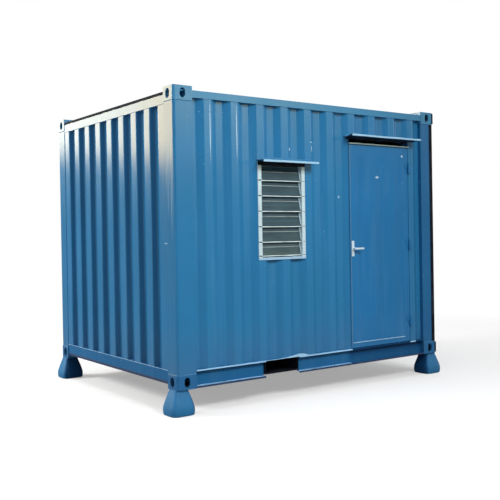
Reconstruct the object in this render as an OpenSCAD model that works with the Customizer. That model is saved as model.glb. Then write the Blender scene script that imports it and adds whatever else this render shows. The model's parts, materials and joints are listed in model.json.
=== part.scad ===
// Portable site cabin: a ten-foot steel box with corner castings, standing on four feet.
// Frame: +X along the length, to the right seen from the door side. -Y is the door side. +Z is up.
// The origin is on the ground under the middle of the whole part. All sizes are millimetres.

/* [Box] */
// Length over the corner castings
box_l = 2991; // [2900:1:6100]
// Width over the corner castings
box_w = 2438; // [2200:1:2600]
// Height from the underside of the bottom castings to the top of the top castings
box_h = 2438; // [2380:1:2900]
// How far posts and rails lie behind the faces of the castings
set_back = 4; // [2:0.5:8]
// How far the outer flats of the walls lie behind the faces of the castings
wall_back = 8; // [6:0.5:12]
// Thickness of the wall and roof sheet
sheet = 2; // [1.5:0.1:3]

/* [Corner castings] */
// Length of a casting along the box
fit_l = 178; // [170:1:190]
// Width of a casting across the box
fit_w = 162; // [155:1:175]
// Height of a casting
fit_h = 118; // [110:1:124]
// Wall of a casting on its outer faces
fit_wall = 22; // [16:1:26]
// Wall of a casting on its inner faces
fit_back = 11; // [8:1:12]
// Length of the slot in the top and bottom faces
slot_l = 124; // [118:1:126]
// Width of the slot in the top and bottom faces
slot_w = 63.5; // [58:0.5:66]
// From the end of the box to the middle of the slot
slot_in_x = 102; // [98:1:104]
// From the side of the box to the middle of the slot
slot_in_y = 89.5; // [84:0.5:94]
// Height of the holes in the upright faces
port_h = 79.5; // [72:0.5:82]
// Width of the hole in the long side
port_side_w = 51; // [44:1:56]
// Width of the hole in the end
port_end_w = 63.5; // [56:0.5:66]
// Radius of the outer upright edge of castings and posts
edge_r = 22; // [12:1:26]

/* [Feet] */
// Height of a foot
foot_h = 205; // [150:1:300]
// Width of a foot where it is widest
foot_base = 216; // [170:1:240]
// Width of a foot at its neck
foot_neck = 122; // [90:1:140]
// From the end of the box to the middle of a foot
foot_in_x = 52; // [44:1:90]
// From the side of the box to the middle of a foot
foot_in_y = 81; // [70:1:100]

/* [Posts and rails] */
// Plate of the corner posts
post_t = 6; // [4:0.5:8]
// Depth of the flange that turns in at each edge of a post
post_turn = 54; // [52:1:66]
// Height of the long top rails
top_rail_h = 60; // [50:1:80]
// Depth of the long top rails
top_rail_d = 60; // [54:1:80]
// Distance of the long top rails under the tops of the castings
top_drop = 32; // [20:1:40]
// Wall of the tube rails
tube_t = 3; // [2:0.5:5]
// Height of the end top rails
head_h = 78; // [60:1:90]
// Distance of the end top rails under the tops of the castings
head_drop = 57; // [56:1:62]
// Top of the long bottom rails above the underside of the castings
sill_top = 150; // [145:1:165]
// Underside of the long bottom rails above the underside of the castings
sill_low = 12; // [4:1:16]
// Plate of the long bottom rails
sill_t = 5; // [4:0.5:8]
// Depth of the top flange of the long bottom rails
sill_d = 50; // [48:1:56]
// Depth of the bottom flange of the long bottom rails
sill_foot = 36; // [30:1:44]
// Height of the lip that turns down from the top flange
sill_lip = 13; // [8:1:20]
// Top of the end bottom rails above the underside of the castings
end_sill_top = 148; // [140:1:150]
// Underside of the end bottom rails above the underside of the castings
end_sill_low = 52; // [40:1:60]
// How far the flanges of the end bottom rails reach in from the end of the box
end_sill_d = 58; // [50:1:60]
// How far the lips of the bottom rails lie behind the faces of the castings
lip_back = 2; // [1:0.5:4]

/* [Side wall sheet] */
// Distance from one outer flat to the next
side_pitch = 260; // [240:1:280]
// Width of the outer flats
side_flat = 72; // [60:1:90]
// Width of each slope
side_slope = 60; // [45:1:70]
// Depth of the side corrugation
side_deep = 36; // [25:0.5:38]

/* [End wall sheet] */
// Distance from one outer flat to the next
end_pitch = 250; // [230:1:265]
// Width of the outer flats
end_flat = 110; // [90:1:120]
// Width of each slope
end_slope = 18; // [14:1:30]
// Depth of the end corrugation
end_deep = 45.6; // [30:0.1:48]

/* [Roof sheet] */
// Distance from one rib to the next
roof_pitch = 209; // [190:1:230]
// Width of the flat top of a rib
roof_flat = 91; // [70:1:100]
// Width of each slope
roof_slope = 13.5; // [10:0.5:20]
// Depth of the ribs
roof_deep = 18; // [12:0.5:19]

/* [Floor] */
// Thickness of the floor boards
floor_t = 28; // [18:1:32]
// From the end of the box to the ends of the floor boards
floor_in = 62; // [60:1:70]
// Height of the floor bearers
bearer_h = 122; // [100:1:130]
// Flange of the floor bearers
bearer_w = 45; // [40:1:60]
// Plate of the floor bearers
bearer_t = 4; // [3:0.5:6]
// From the castings to the middle of the first and the last bearer
bearer_in = 30; // [26:1:40]
// Number of places for a bearer
bearer_n = 9; // [7:1:11]
// Middle of the fork pocket, measured from the middle of the box
fork_x = -447; // [-520:1:-400]
// Clear width of the fork pocket
fork_w = 352; // [300:1:370]
// Plate of the fork pocket
fork_t = 6; // [4:0.5:8]
// Underside of the fork pocket's clear height above the underside of the castings
fork_low = 32; // [28:1:40]
// Length of the straps that close the fork pocket below
fork_strap = 200; // [150:1:300]

/* [Window] */
// From the window frame to the doorway
win_gap = 527; // [500:1:540]
// Width over the window frame
win_w = 512; // [460:1:540]
// Top of the window frame below the tops of the castings
win_drop = 576; // [566:1:620]
// Height over the window frame
win_h = 850; // [800:1:870]
// Width of the side channels of the window frame
win_side = 40; // [30:1:48]
// Height of the sill of the window frame
win_sill = 22; // [16:1:30]
// Height of the head of the window frame
win_head = 30; // [20:1:36]
// Depth of the window frame
win_d = 58; // [52:1:70]
// Number of glass blades
blade_n = 6; // [5:1:7]
// Thickness of a glass blade
blade_t = 6; // [4:0.5:8]
// How far each blade overlaps the next one
blade_lap = 14; // [8:1:20]
// Tilt of the blades from upright
blade_tilt = 13; // [8:1:20]

/* [Doorway] */
// From the right end of the box to the doorway
door_in = 361; // [350:1:370]
// Width of the doorway
door_w = 781; // [770:1:790]
// Underside of the door head below the tops of the castings
door_drop = 371; // [366:1:420]
// Thickness of the door head
door_head_t = 11; // [8:1:16]
// Top of the vent slot below the tops of the castings
vent_drop = 322; // [318:1:330]
// Thickness of the upright reveal plates
reveal_t = 4; // [3:0.5:6]
// How far the door stop reaches behind the leaf
stop_in = 16; // [14:1:18]
// Depth of the door stop
stop_d = 40; // [30:1:44]
// How far the door stop reaches behind the wall
stop_back = 40; // [30:1:50]
// Gap round the leaf
leaf_gap = 5; // [5:0.5:6]
// Gap at the lock edge of the leaf
lock_gap = 8; // [7:0.5:9]
// Width of the flat border of the leaf
leaf_edge = 50; // [44:1:56]
// Plate of the leaf's border
leaf_t = 3; // [2:0.5:4]

/* [Hinges and lock] */
// Radius of the hinge knuckles
knuckle_r = 11; // [10:0.5:12]
// Length of each half knuckle
knuckle_h = 48; // [36:1:60]
// Radius of the hinge pins
pin_r = 6; // [5:0.1:7]
// Running clearance of the hinge pins and the lever spindle
run_gap = 0.06; // [0.03:0.01:0.09]
// From the ends of the leaf to the outer hinges
hinge_in = 200; // [150:1:300]
// Width of the lock plates
lock_w = 30; // [26:1:32]
// Height of the lock plates
lock_h = 145; // [130:1:170]
// Thickness of the lock plates
lock_t = 4; // [3:0.5:4]
// Height of the lever above the underside of the castings
lever_z = 1087; // [1000:1:1150]
// Length of the lever arms
lever_l = 105; // [90:1:120]
// Radius of the lever's spindle
spindle_r = 7; // [6:0.5:8]

/* [Hoods] */
// How far the hoods stand out from the wall
hood_out = 108; // [90:1:150]
// Sheet of the hoods
hood_t = 2.5; // [2:0.5:4]
// Height of the lip on the front of a hood
hood_lip = 17; // [8:1:20]
// Height of the flange that fixes a hood to the wall
hood_flange = 26; // [20:1:34]
// Width of the door hood
door_hood_w = 906; // [870:1:940]
// How far the door hood stands to the right of the doorway's middle
door_hood_off = 20; // [0:1:30]
// Door hood at the wall below the tops of the castings
door_hood_drop = 310; // [306:1:316]
// Rise of the door hood from the wall to its front
door_hood_rise = 19; // [0:1:30]
// Width of the window hood
win_hood_w = 604; // [570:1:640]
// How far the window hood stands to the right of the window's middle
win_hood_off = 38; // [0:1:44]
// Window hood at the wall below the tops of the castings
win_hood_drop = 564; // [555:1:570]
// Rise of the window hood from the wall to its front
win_hood_rise = -6; // [-20:1:10]

/* [Hidden] */
$fn = 48;
half_l = box_l / 2;
// The hoods reach further forward than the feet reach back, and half the difference centres the part
y_mid = (hood_out - wall_back - max(0, foot_base / 2 - foot_in_y)) / 2;
y_front = y_mid - box_w / 2;
y_rear = y_mid + box_w / 2;
z_top = foot_h + box_h;
sill_z = foot_h + sill_top;
floor_z = sill_z + floor_t;
rail_z = z_top - top_drop - top_rail_h;
head_z = z_top - head_drop - head_h;
roof_z = z_top - top_drop;
skin = y_front + wall_back;
fork_x0 = fork_x - fork_w / 2;
fork_x1 = fork_x + fork_w / 2;
door_x1 = half_l - door_in;
door_x0 = door_x1 - door_w;
door_z = z_top - door_drop;
vent_z = z_top - vent_drop;
win_x1 = door_x0 - win_gap;
win_x0 = win_x1 - win_w;
win_z1 = z_top - win_drop;
win_z0 = win_z1 - win_h;
leaf_d = side_deep + sheet;
stop_y = skin + leaf_d + 6;
leaf_x0 = door_x0 + lock_gap;
leaf_x1 = door_x1 - leaf_gap;
leaf_z0 = sill_z + leaf_gap;
leaf_z1 = door_z - leaf_gap;
hinge_x = door_x1 - leaf_gap / 2;
hinge_y = skin - knuckle_r - 1.5;
lug_t = 5;
lock_x = door_x0 + stop_in + lock_w / 2 + 6;
lever_zz = foot_h + lever_z;
lever_out = 46;
lever_in = 24;

// Depth of a corrugated sheet behind its outer flats at u along the wall
function deep(u, c, p, f, s, d) =
  let (m = abs(u - c - p * round((u - c) / p)))
  m <= f / 2 ? 0 : m >= f / 2 + s ? d : d * (m - f / 2) / s;

// Line of a corrugated sheet from u0 to u1, with back added to its depth
function fold(u0, u1, c, p, f, s, d, back) =
  concat([[u0, deep(u0, c, p, f, s, d) + back]],
    [for (k = [floor((u0 - c) / p) - 1 : ceil((u1 - c) / p) + 1])
      for (e = [-f / 2 - s, -f / 2, f / 2, f / 2 + s])
        let (u = c + k * p + e)
        if (u > u0 + 0.5 && u < u1 - 0.5) [u, deep(u, c, p, f, s, d) + back]],
    [[u1, deep(u1, c, p, f, s, d) + back]]);

function turned(a) = [for (i = [len(a) - 1 : -1 : 0]) a[i]];

// How much a flat narrows on the back of the sheet
function narrow(s, d, t) = 2 * t * tan(atan(d / s) / 2);

// Cross-section of a corrugated sheet
module sheet_2d(u0, u1, c, p, f, s, d, t)
  polygon(concat(fold(u0, u1, c, p, f, s, d, 0),
    turned(fold(u0, u1, c, p, f - narrow(s, d, t), s, d, t))));

// Side wall sheet on the door side
module front_sheet(x0, x1, z0, z1)
  translate([0, skin, z0])
    linear_extrude(z1 - z0)
      sheet_2d(x0, x1, side_pitch / 2, side_pitch, side_flat, side_slope, side_deep, sheet);

// Places a corner piece drawn inward from the front left corner of the box
module at_corner(right, rear)
  translate([right ? half_l : -half_l, rear ? y_rear : y_front, 0])
    scale_corner(right, rear) children();

module scale_corner(right, rear) {
  if (right && rear) rotate([0, 0, 180]) children();
  if (right && !rear) mirror([1, 0, 0]) children();
  if (!right && rear) mirror([0, 1, 0]) children();
  if (!right && !rear) children();
}

// Rectangle from a to b with the corner at a rounded
module rounded_2d(a, b, r)
  difference() {
    translate([a[0], a[1]]) square([b[0] - a[0], b[1] - a[1]]);
    difference() {
      translate([a[0] - 1, a[1] - 1]) square([r + 1, r + 1]);
      translate([a[0] + r, a[1] + r]) circle(r);
    }
  }

// Slot with round ends, long along Y
module slot_2d(long, wide) {
  square([wide, long - wide], center = true);
  translate([0, (long - wide) / 2]) circle(wide / 2);
  translate([0, (wide - long) / 2]) circle(wide / 2);
}

// Casting seen from its slotted face, which is at z = 0 with the body below
module casting()
  difference() {
    translate([0, 0, -fit_h]) linear_extrude(fit_h) rounded_2d([0, 0], [fit_l, fit_w], edge_r);
    translate([fit_wall, fit_wall, fit_back - fit_h])
      cube([fit_l - fit_wall - fit_back, fit_w - fit_wall - fit_back, fit_h - fit_back - fit_wall]);
    translate([slot_in_x, slot_in_y, -fit_wall - 5])
      linear_extrude(fit_wall + 10) rotate([0, 0, 90]) slot_2d(slot_l, slot_w);
    translate([slot_in_x - 13, fit_wall + 5, -fit_h / 2])
      rotate([90, 0, 0]) linear_extrude(fit_wall + 10) slot_2d(port_h, port_side_w);
    translate([-5, slot_in_y, -fit_h / 2])
      rotate([90, 0, 90]) linear_extrude(fit_wall + 10) slot_2d(port_h, port_end_w);
  }

module casting_top(right, rear)
  color("steelblue") at_corner(right, rear) translate([0, 0, z_top]) casting();

module casting_bottom(right, rear)
  color("steelblue") at_corner(right, rear) translate([0, 0, foot_h]) mirror([0, 0, 1]) casting();

// Pressed corner post, open towards the room
module post(right, rear)
  color("steelblue") at_corner(right, rear)
    translate([0, 0, foot_h + fit_h])
      linear_extrude(box_h - 2 * fit_h)
        difference() {
          rounded_2d([set_back, set_back], [fit_l, fit_w], edge_r);
          rounded_2d([set_back + post_t, set_back + post_t], [fit_l - post_t, fit_w - post_t],
            edge_r - post_t);
          translate([set_back + post_turn, set_back + post_turn]) square([fit_l, fit_w]);
        }

// Square with round corners, as one layer of a foot
module foot_layer(w, r, z)
  translate([0, 0, z])
    linear_extrude(1)
      for (i = [-1, 1])
        for (j = [-1, 1])
          translate([i * (w / 2 - r), j * (w / 2 - r)]) circle(r, $fn = 24);

// Tapered foot under a casting, round towards its sole
module foot(right, rear)
  color("lightsteelblue") at_corner(right, rear)
    translate([foot_in_x, foot_in_y, 0]) {
      hull() {
        foot_layer(foot_base * 0.84, foot_base * 0.2, 0);
        foot_layer(foot_base * 0.95, foot_base * 0.22, foot_h * 0.08);
        foot_layer(foot_base, foot_base * 0.22, foot_h * 0.24);
        foot_layer(foot_base * 0.98, foot_base * 0.22, foot_h * 0.34);
      }
      hull() {
        foot_layer(foot_base * 0.98, foot_base * 0.22, foot_h * 0.34 - 0.5);
        foot_layer(foot_neck * 1.08, foot_neck * 0.2, foot_h * 0.82);
      }
      hull() {
        foot_layer(foot_neck * 1.08, foot_neck * 0.2, foot_h * 0.82);
        foot_layer(foot_neck, foot_neck * 0.17, foot_h - 1);
      }
    }

// Rectangular tube between two corners
module tube(a, b, axis)
  difference() {
    translate(a) cube(b - a);
    if (axis == 0)
      translate(a + [-1, tube_t, tube_t]) cube(b - a + [2, -2 * tube_t, -2 * tube_t]);
    if (axis == 1)
      translate(a + [tube_t, -1, tube_t]) cube(b - a + [-2 * tube_t, 2, -2 * tube_t]);
  }

module top_rail_front()
  color("steelblue")
    tube([fit_l - half_l, y_front + set_back, rail_z],
      [half_l - fit_l, y_front + set_back + top_rail_d, rail_z + top_rail_h], 0);

module top_rail_rear()
  color("steelblue")
    tube([fit_l - half_l, y_rear - set_back - top_rail_d, rail_z],
      [half_l - fit_l, y_rear - set_back, rail_z + top_rail_h], 0);

module top_rail_left()
  color("steelblue")
    tube([set_back - half_l, y_front + fit_w, head_z],
      [set_back - half_l + top_rail_d, y_rear - fit_w, head_z + head_h], 1);

module top_rail_right()
  color("steelblue")
    tube([half_l - set_back - top_rail_d, y_front + fit_w, head_z],
      [half_l - set_back, y_rear - fit_w, head_z + head_h], 1);

// Channel of a long bottom rail, drawn from the face of the castings inward
module sill_2d() {
  translate([lip_back, sill_top - sill_t]) square([sill_d - lip_back, sill_t]);
  translate([lip_back, sill_top - sill_lip]) square([sill_t, sill_lip]);
  translate([sill_d - sill_t, sill_low]) square([sill_t, sill_top - sill_low]);
  translate([sill_d - sill_foot, sill_low]) square([sill_foot, sill_t]);
}

module long_sill()
  difference() {
    translate([fit_l - half_l, 0, foot_h])
      rotate([90, 0, 90]) linear_extrude(box_l - 2 * fit_l) sill_2d();
    translate([fork_x0 - fork_t, -5, foot_h + sill_low - 5])
      cube([fork_w + 2 * fork_t, sill_d + 10, sill_top - sill_t - sill_low + 5]);
  }

module bottom_rail_front()
  color("steelblue") translate([0, y_front, 0]) long_sill();

module bottom_rail_rear()
  color("steelblue") translate([0, y_rear, 0]) mirror([0, 1, 0]) long_sill();

// Channel of an end bottom rail with a lip on its top edge
module end_sill()
  translate([0, y_front + fit_w, foot_h])
    rotate([90, 0, 0])
      mirror([0, 0, 1])
        linear_extrude(box_w - 2 * fit_w) {
          translate([lip_back, end_sill_top - sill_t]) square([end_sill_d - lip_back, sill_t]);
          translate([wall_back, end_sill_low]) square([sill_t, end_sill_top - end_sill_low]);
          translate([wall_back, end_sill_low]) square([end_sill_d - wall_back, sill_t]);
        }

module bottom_rail_left()
  color("steelblue") translate([-half_l, 0, 0]) end_sill();

module bottom_rail_right()
  color("steelblue") translate([half_l, 0, 0]) mirror([1, 0, 0]) end_sill();

// Floor bearers, left out where the fork pocket runs
module floor_bearers()
  color("slategray")
    for (i = [0 : bearer_n - 1])
      let (x = (box_l - 2 * fit_l - 2 * bearer_in) * (i / (bearer_n - 1) - 0.5))
        if (x < fork_x0 - 2 * bearer_w || x > fork_x1 + 2 * bearer_w)
          translate([x - bearer_w / 2, y_rear - sill_d, sill_z - bearer_h])
            rotate([90, 0, 0])
              linear_extrude(box_w - 2 * sill_d) {
                square([bearer_t, bearer_h]);
                square([bearer_w, bearer_t]);
                translate([0, bearer_h - bearer_t]) square([bearer_w, bearer_t]);
              }

// Tunnel for the forks of a lift truck, open below between its straps
module fork_pocket()
  color("slategray") {
    for (x = [fork_x0 - fork_t, fork_x1])
      translate([x, y_front + 20, foot_h + fork_low - fork_t])
        cube([fork_t, box_w - 40, sill_top - sill_t - fork_low + fork_t]);
    translate([fork_x0 - fork_t, y_front + 20, sill_z - sill_t - fork_t])
      cube([fork_w + 2 * fork_t, box_w - 40, fork_t]);
    for (y = [y_front + 20, y_rear - 20 - fork_strap])
      translate([fork_x0 - fork_t, y, foot_h + fork_low - fork_t])
        cube([fork_w + 2 * fork_t, fork_strap, fork_t]);
  }

// Boards notched round the corner posts
module floor_boards()
  color("burlywood")
    difference() {
      translate([floor_in - half_l, y_front + sill_d + 4, sill_z])
        cube([box_l - 2 * floor_in, box_w - 2 * sill_d - 8, floor_t]);
      for (right = [false, true])
        for (rear = [false, true])
          at_corner(right, rear) translate([0, 0, sill_z - 5]) cube([fit_l + 2, fit_w + 2, floor_t + 10]);
    }

// Ribbed roof between the long rails, closed by a bar over each end rail
module roof_sheet()
  color("steelblue")
    difference() {
      union() {
        translate([0, y_rear - set_back - top_rail_d, roof_z])
          rotate([90, 0, 0])
            linear_extrude(box_w - 2 * set_back - 2 * top_rail_d)
              mirror([0, 1])
                sheet_2d(18 - half_l, half_l - 18, 0, roof_pitch, roof_flat, roof_slope, roof_deep, sheet);
        for (x = [14 - half_l, half_l - 20])
          translate([x, y_front + fit_w, head_z + head_h])
            cube([6, box_w - 2 * fit_w, roof_z - head_z - head_h]);
      }
      for (right = [false, true])
        for (rear = [false, true])
          at_corner(right, rear) translate([-5, -5, roof_z - fit_h / 2]) cube([fit_l + 5, fit_w + 5, fit_h]);
    }

// End wall sheet, drawn from the end of the box inward
module end_sheet()
  translate([wall_back, 0, foot_h + end_sill_top])
    linear_extrude(head_z - foot_h - end_sill_top)
      mirror([1, -1])
        sheet_2d(y_front + fit_w, y_rear - fit_w, y_mid, end_pitch, end_flat, end_slope, end_deep, sheet);

module wall_left()
  color("steelblue") translate([-half_l, 0, 0]) end_sheet();

module wall_right()
  color("steelblue") translate([half_l, 0, 0]) mirror([1, 0, 0]) end_sheet();

module wall_rear()
  color("steelblue")
    translate([0, y_rear - wall_back, sill_z])
      mirror([0, 1, 0])
        linear_extrude(rail_z - sill_z)
          sheet_2d(fit_l - half_l, half_l - fit_l, side_pitch / 2, side_pitch, side_flat, side_slope,
            side_deep, sheet);

module wall_front_left()
  color("steelblue") front_sheet(fit_l - half_l, win_x0, sill_z, rail_z);

module wall_under_window()
  color("steelblue") front_sheet(win_x0, win_x1, sill_z, win_z0);

module wall_over_window()
  color("steelblue") front_sheet(win_x0, win_x1, win_z1, rail_z);

module wall_front_middle()
  color("steelblue") front_sheet(win_x1, door_x0 - reveal_t, sill_z, rail_z);

module wall_over_door()
  color("steelblue") front_sheet(door_x0 - reveal_t, door_x1 + reveal_t, vent_z, rail_z);

module wall_front_right()
  color("steelblue") front_sheet(door_x1 + reveal_t, half_l - fit_l, sill_z, rail_z);

// Frame that fills the hole in the wall round the glass blades
module window_frame()
  color("gainsboro")
    difference() {
      translate([win_x0, skin - 5, win_z0]) cube([win_w, win_d, win_h]);
      translate([win_x0 + win_side, skin - 10, win_z0 + win_sill])
        cube([win_w - 2 * win_side, win_d + 10, win_h - win_sill - win_head]);
    }

// Glass blades, each leaning out over the one below
module window_blades()
  color("darkslategray")
    for (i = [0 : blade_n - 1])
      let (clear = win_h - win_sill - win_head, step = clear / blade_n)
        translate([win_x0 + win_side, skin + win_d / 2 - 4, win_z0 + win_sill + (i + 0.5) * step])
          rotate([-blade_tilt, 0, 0])
            translate([0, -blade_t / 2, -(step + blade_lap) / 2 + (i == 0 ? blade_lap : 0)])
              cube([win_w - 2 * win_side, blade_t,
                step + blade_lap - (i == 0 || i == blade_n - 1 ? blade_lap : 0)]);

// Folded sheet hood, w wide about x, at z on the wall and up higher at its front
module hood(x, w, z, up)
  translate([x - w / 2, skin, z])
    rotate([90, 0, 90])
      linear_extrude(w)
        polygon([[0, hood_flange], [-hood_t, hood_flange], [-hood_t, 0], [-hood_out, up],
          [-hood_out, up - hood_lip], [hood_t - hood_out, up - hood_lip], [hood_t - hood_out, up - hood_t],
          [-hood_t, -hood_t], [0, -hood_t]]);

module window_hood()
  color("steelblue")
    hood((win_x0 + win_x1) / 2 + win_hood_off, win_hood_w, z_top - win_hood_drop, win_hood_rise);

module door_hood()
  color("steelblue")
    hood((door_x0 + door_x1) / 2 + door_hood_off, door_hood_w, z_top - door_hood_drop, door_hood_rise);

// Reveal plate and stop of the doorway, drawn for the lock side
module jamb() {
  translate([-reveal_t, skin, sill_z]) cube([reveal_t, y_front + sill_d + 4 - skin, vent_z - sill_z]);
  translate([-reveal_t, skin, floor_z]) cube([reveal_t, stop_y - skin + 2, vent_z - floor_z]);
  translate([-stop_back, stop_y, floor_z]) cube([stop_back + stop_in, stop_d, vent_z - floor_z]);
}

module door_jamb_lock()
  color("steelblue") translate([door_x0, 0, 0]) jamb();

module door_jamb_hinge()
  color("steelblue") translate([door_x1, 0, 0]) mirror([1, 0, 0]) jamb();

// Drip plate over the leaf with the stop below it
module door_head()
  color("gainsboro") {
    translate([door_x0, skin - 16, door_z]) cube([door_w, stop_y - skin + 16, door_head_t]);
    translate([door_x0 + stop_in, stop_y, door_z - 20])
      cube([door_w - 2 * stop_in, stop_d, 20 + door_head_t]);
  }

// Leaf with a folded border and a corrugated middle in step with the wall
module door_leaf()
  color("steelblue")
    difference() {
      union() {
        difference() {
          translate([leaf_x0, skin, leaf_z0]) cube([leaf_x1 - leaf_x0, leaf_d, leaf_z1 - leaf_z0]);
          translate([leaf_x0 + leaf_t, skin + leaf_t, leaf_z0 + leaf_t])
            cube([leaf_x1 - leaf_x0 - 2 * leaf_t, leaf_d, leaf_z1 - leaf_z0 - 2 * leaf_t]);
          translate([leaf_x0 + leaf_edge, skin - 5, leaf_z0 + leaf_edge])
            cube([leaf_x1 - leaf_x0 - 2 * leaf_edge, leaf_d, leaf_z1 - leaf_z0 - 2 * leaf_edge]);
        }
        difference() {
          translate([leaf_x0 + leaf_edge - leaf_t, skin, leaf_z0 + leaf_edge - leaf_t])
            cube([leaf_x1 - leaf_x0 - 2 * leaf_edge + 2 * leaf_t, leaf_d,
              leaf_z1 - leaf_z0 - 2 * leaf_edge + 2 * leaf_t]);
          translate([leaf_x0 + leaf_edge, skin - 5, leaf_z0 + leaf_edge])
            cube([leaf_x1 - leaf_x0 - 2 * leaf_edge, leaf_d + 10, leaf_z1 - leaf_z0 - 2 * leaf_edge]);
        }
        front_sheet(leaf_x0 + leaf_edge - 1, leaf_x1 - leaf_edge + 1, leaf_z0 + leaf_edge - 1,
          leaf_z1 - leaf_edge + 1);
      }
      translate([lock_x, skin + 10, lever_zz]) rotate([90, 0, 0]) cylinder(h = 20, r = spindle_r + 3);
    }

function hinge_z(i) = leaf_z0 + hinge_in + i * (leaf_z1 - leaf_z0 - 2 * hinge_in) / 2;

// Fixed hinge halves with their pins
module hinge_bases()
  color("steelblue")
    for (i = [0 : 2])
      translate([hinge_x, hinge_y, hinge_z(i)]) {
        translate([0, 0, -knuckle_h]) cylinder(h = knuckle_h, r = knuckle_r);
        translate([0, 0, -1]) cylinder(h = knuckle_h + 5, r = pin_r);
        translate([0, knuckle_r + 1.5 - lug_t, -knuckle_h]) cube([44, lug_t, knuckle_h]);
      }

// Moving hinge halves on the leaf
module hinge_knuckles()
  color("steelblue")
    for (i = [0 : 2])
      translate([hinge_x, hinge_y, hinge_z(i) + 1])
        difference() {
          union() {
            cylinder(h = knuckle_h, r = knuckle_r);
            translate([-44, knuckle_r + 1.5 - lug_t, 0]) cube([44, lug_t, knuckle_h]);
          }
          translate([0, 0, -5]) cylinder(h = knuckle_h + 10, r = pin_r + run_gap);
        }

// Lock plates on both faces of the leaf
module lock_plates()
  color("silver")
    difference() {
      for (y = [skin - lock_t, skin + leaf_d])
        translate([lock_x - lock_w / 2, y, lever_zz - lock_h / 2]) cube([lock_w, lock_t, lock_h]);
      translate([lock_x, skin + leaf_d + 20, lever_zz])
        rotate([90, 0, 0]) cylinder(h = leaf_d + 40, r = spindle_r + run_gap);
    }

// Lever on one spindle with an arm on each face of the leaf
module lever()
  color("silver") translate([lock_x, 0, lever_zz]) {
    translate([0, skin + leaf_d + lever_in, 0])
      rotate([90, 0, 0]) cylinder(h = leaf_d + lever_in + lever_out, r = spindle_r);
    for (y = [skin - lever_out, skin + leaf_d + lever_in - 10]) {
      translate([0, y + 10, 0]) rotate([90, 0, 0]) cylinder(h = 10, r = 10);
      translate([0, y, -8]) cube([lever_l - 8, 10, 16]);
      translate([lever_l - 8, y + 10, 0]) rotate([90, 0, 0]) cylinder(h = 10, r = 8);
    }
  }

foot(false, false);  // foot_front_left
foot(true, false);  // foot_front_right
foot(false, true);  // foot_rear_left
foot(true, true);  // foot_rear_right
casting_bottom(false, false);  // casting_bottom_front_left
casting_bottom(true, false);  // casting_bottom_front_right
casting_bottom(false, true);  // casting_bottom_rear_left
casting_bottom(true, true);  // casting_bottom_rear_right
casting_top(false, false);  // casting_top_front_left
casting_top(true, false);  // casting_top_front_right
casting_top(false, true);  // casting_top_rear_left
casting_top(true, true);  // casting_top_rear_right
post(false, false);  // post_front_left
post(true, false);  // post_front_right
post(false, true);  // post_rear_left
post(true, true);  // post_rear_right
top_rail_front();
top_rail_rear();
top_rail_left();
top_rail_right();
bottom_rail_front();
bottom_rail_rear();
bottom_rail_left();
bottom_rail_right();
floor_bearers();
fork_pocket();
floor_boards();
roof_sheet();
wall_left();
wall_right();
wall_rear();
wall_front_left();
wall_under_window();
wall_over_window();
wall_front_middle();
wall_over_door();
wall_front_right();
window_frame();
window_blades();
window_hood();
door_jamb_lock();
door_jamb_hinge();
door_head();
door_hood();
door_leaf();
hinge_bases();
hinge_knuckles();
lock_plates();
lever();
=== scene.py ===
"""Dresses the solid model of a portable site cabin with pressed sheets, worn paint, glass and door gear."""

import json
import math

import bmesh
import bpy
from bpy.props import FloatProperty, FloatVectorProperty, IntProperty, PointerProperty
from mathutils import Matrix, Vector, noise


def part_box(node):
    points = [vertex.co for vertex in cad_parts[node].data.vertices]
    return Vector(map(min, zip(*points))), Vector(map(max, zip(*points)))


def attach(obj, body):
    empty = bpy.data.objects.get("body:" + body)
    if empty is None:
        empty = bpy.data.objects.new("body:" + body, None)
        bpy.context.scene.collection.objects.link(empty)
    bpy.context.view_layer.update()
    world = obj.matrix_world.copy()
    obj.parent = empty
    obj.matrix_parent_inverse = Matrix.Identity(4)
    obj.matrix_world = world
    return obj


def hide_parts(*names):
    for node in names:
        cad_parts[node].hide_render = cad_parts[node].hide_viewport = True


bl_info = {
    "name": "Site Cabin Dresser",
    "version": (1, 0, 0),
    "blender": (4, 5, 0),
    "location": "View3D > Sidebar > Cabin",
    "description": "Builds the visible pieces of a portable site cabin over its solid model",
    "category": "Object",
}

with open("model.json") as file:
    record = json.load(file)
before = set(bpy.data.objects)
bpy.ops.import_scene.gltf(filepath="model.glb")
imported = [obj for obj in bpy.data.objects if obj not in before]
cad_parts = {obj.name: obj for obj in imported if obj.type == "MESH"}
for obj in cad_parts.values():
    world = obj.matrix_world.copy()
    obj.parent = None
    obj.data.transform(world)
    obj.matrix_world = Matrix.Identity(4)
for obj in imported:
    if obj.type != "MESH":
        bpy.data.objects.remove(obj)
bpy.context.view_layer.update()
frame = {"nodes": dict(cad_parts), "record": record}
CAD_NODES = frame["nodes"]
NODE_SLOT = {part["node"]: part["material_slot"] for part in frame["record"]["subparts"]}
NODE_BODY = {node: body for body, nodes in frame["record"]["behaviour"]["bodies"].items() for node in nodes}
CORNERS = ("front_left", "front_right", "rear_left", "rear_right")
# Faces that meet more gently than this share their shading, and edges sharper than the next are rounded.
SMOOTH = math.cos(math.radians(35))
SHARP = math.radians(28)
# Height of the bottom rails' lip, and how far its pale paint, a painted highlight as well as wear, runs past
# the door.
LIP_TALL = 0.014
PAST_DOOR = 0.075
# Rings of a rivet's head: share of its radius and of its rise.
DOME = ((1.0, -0.25), (1.0, 0.15), (0.86, 0.62), (0.5, 0.92))
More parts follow.
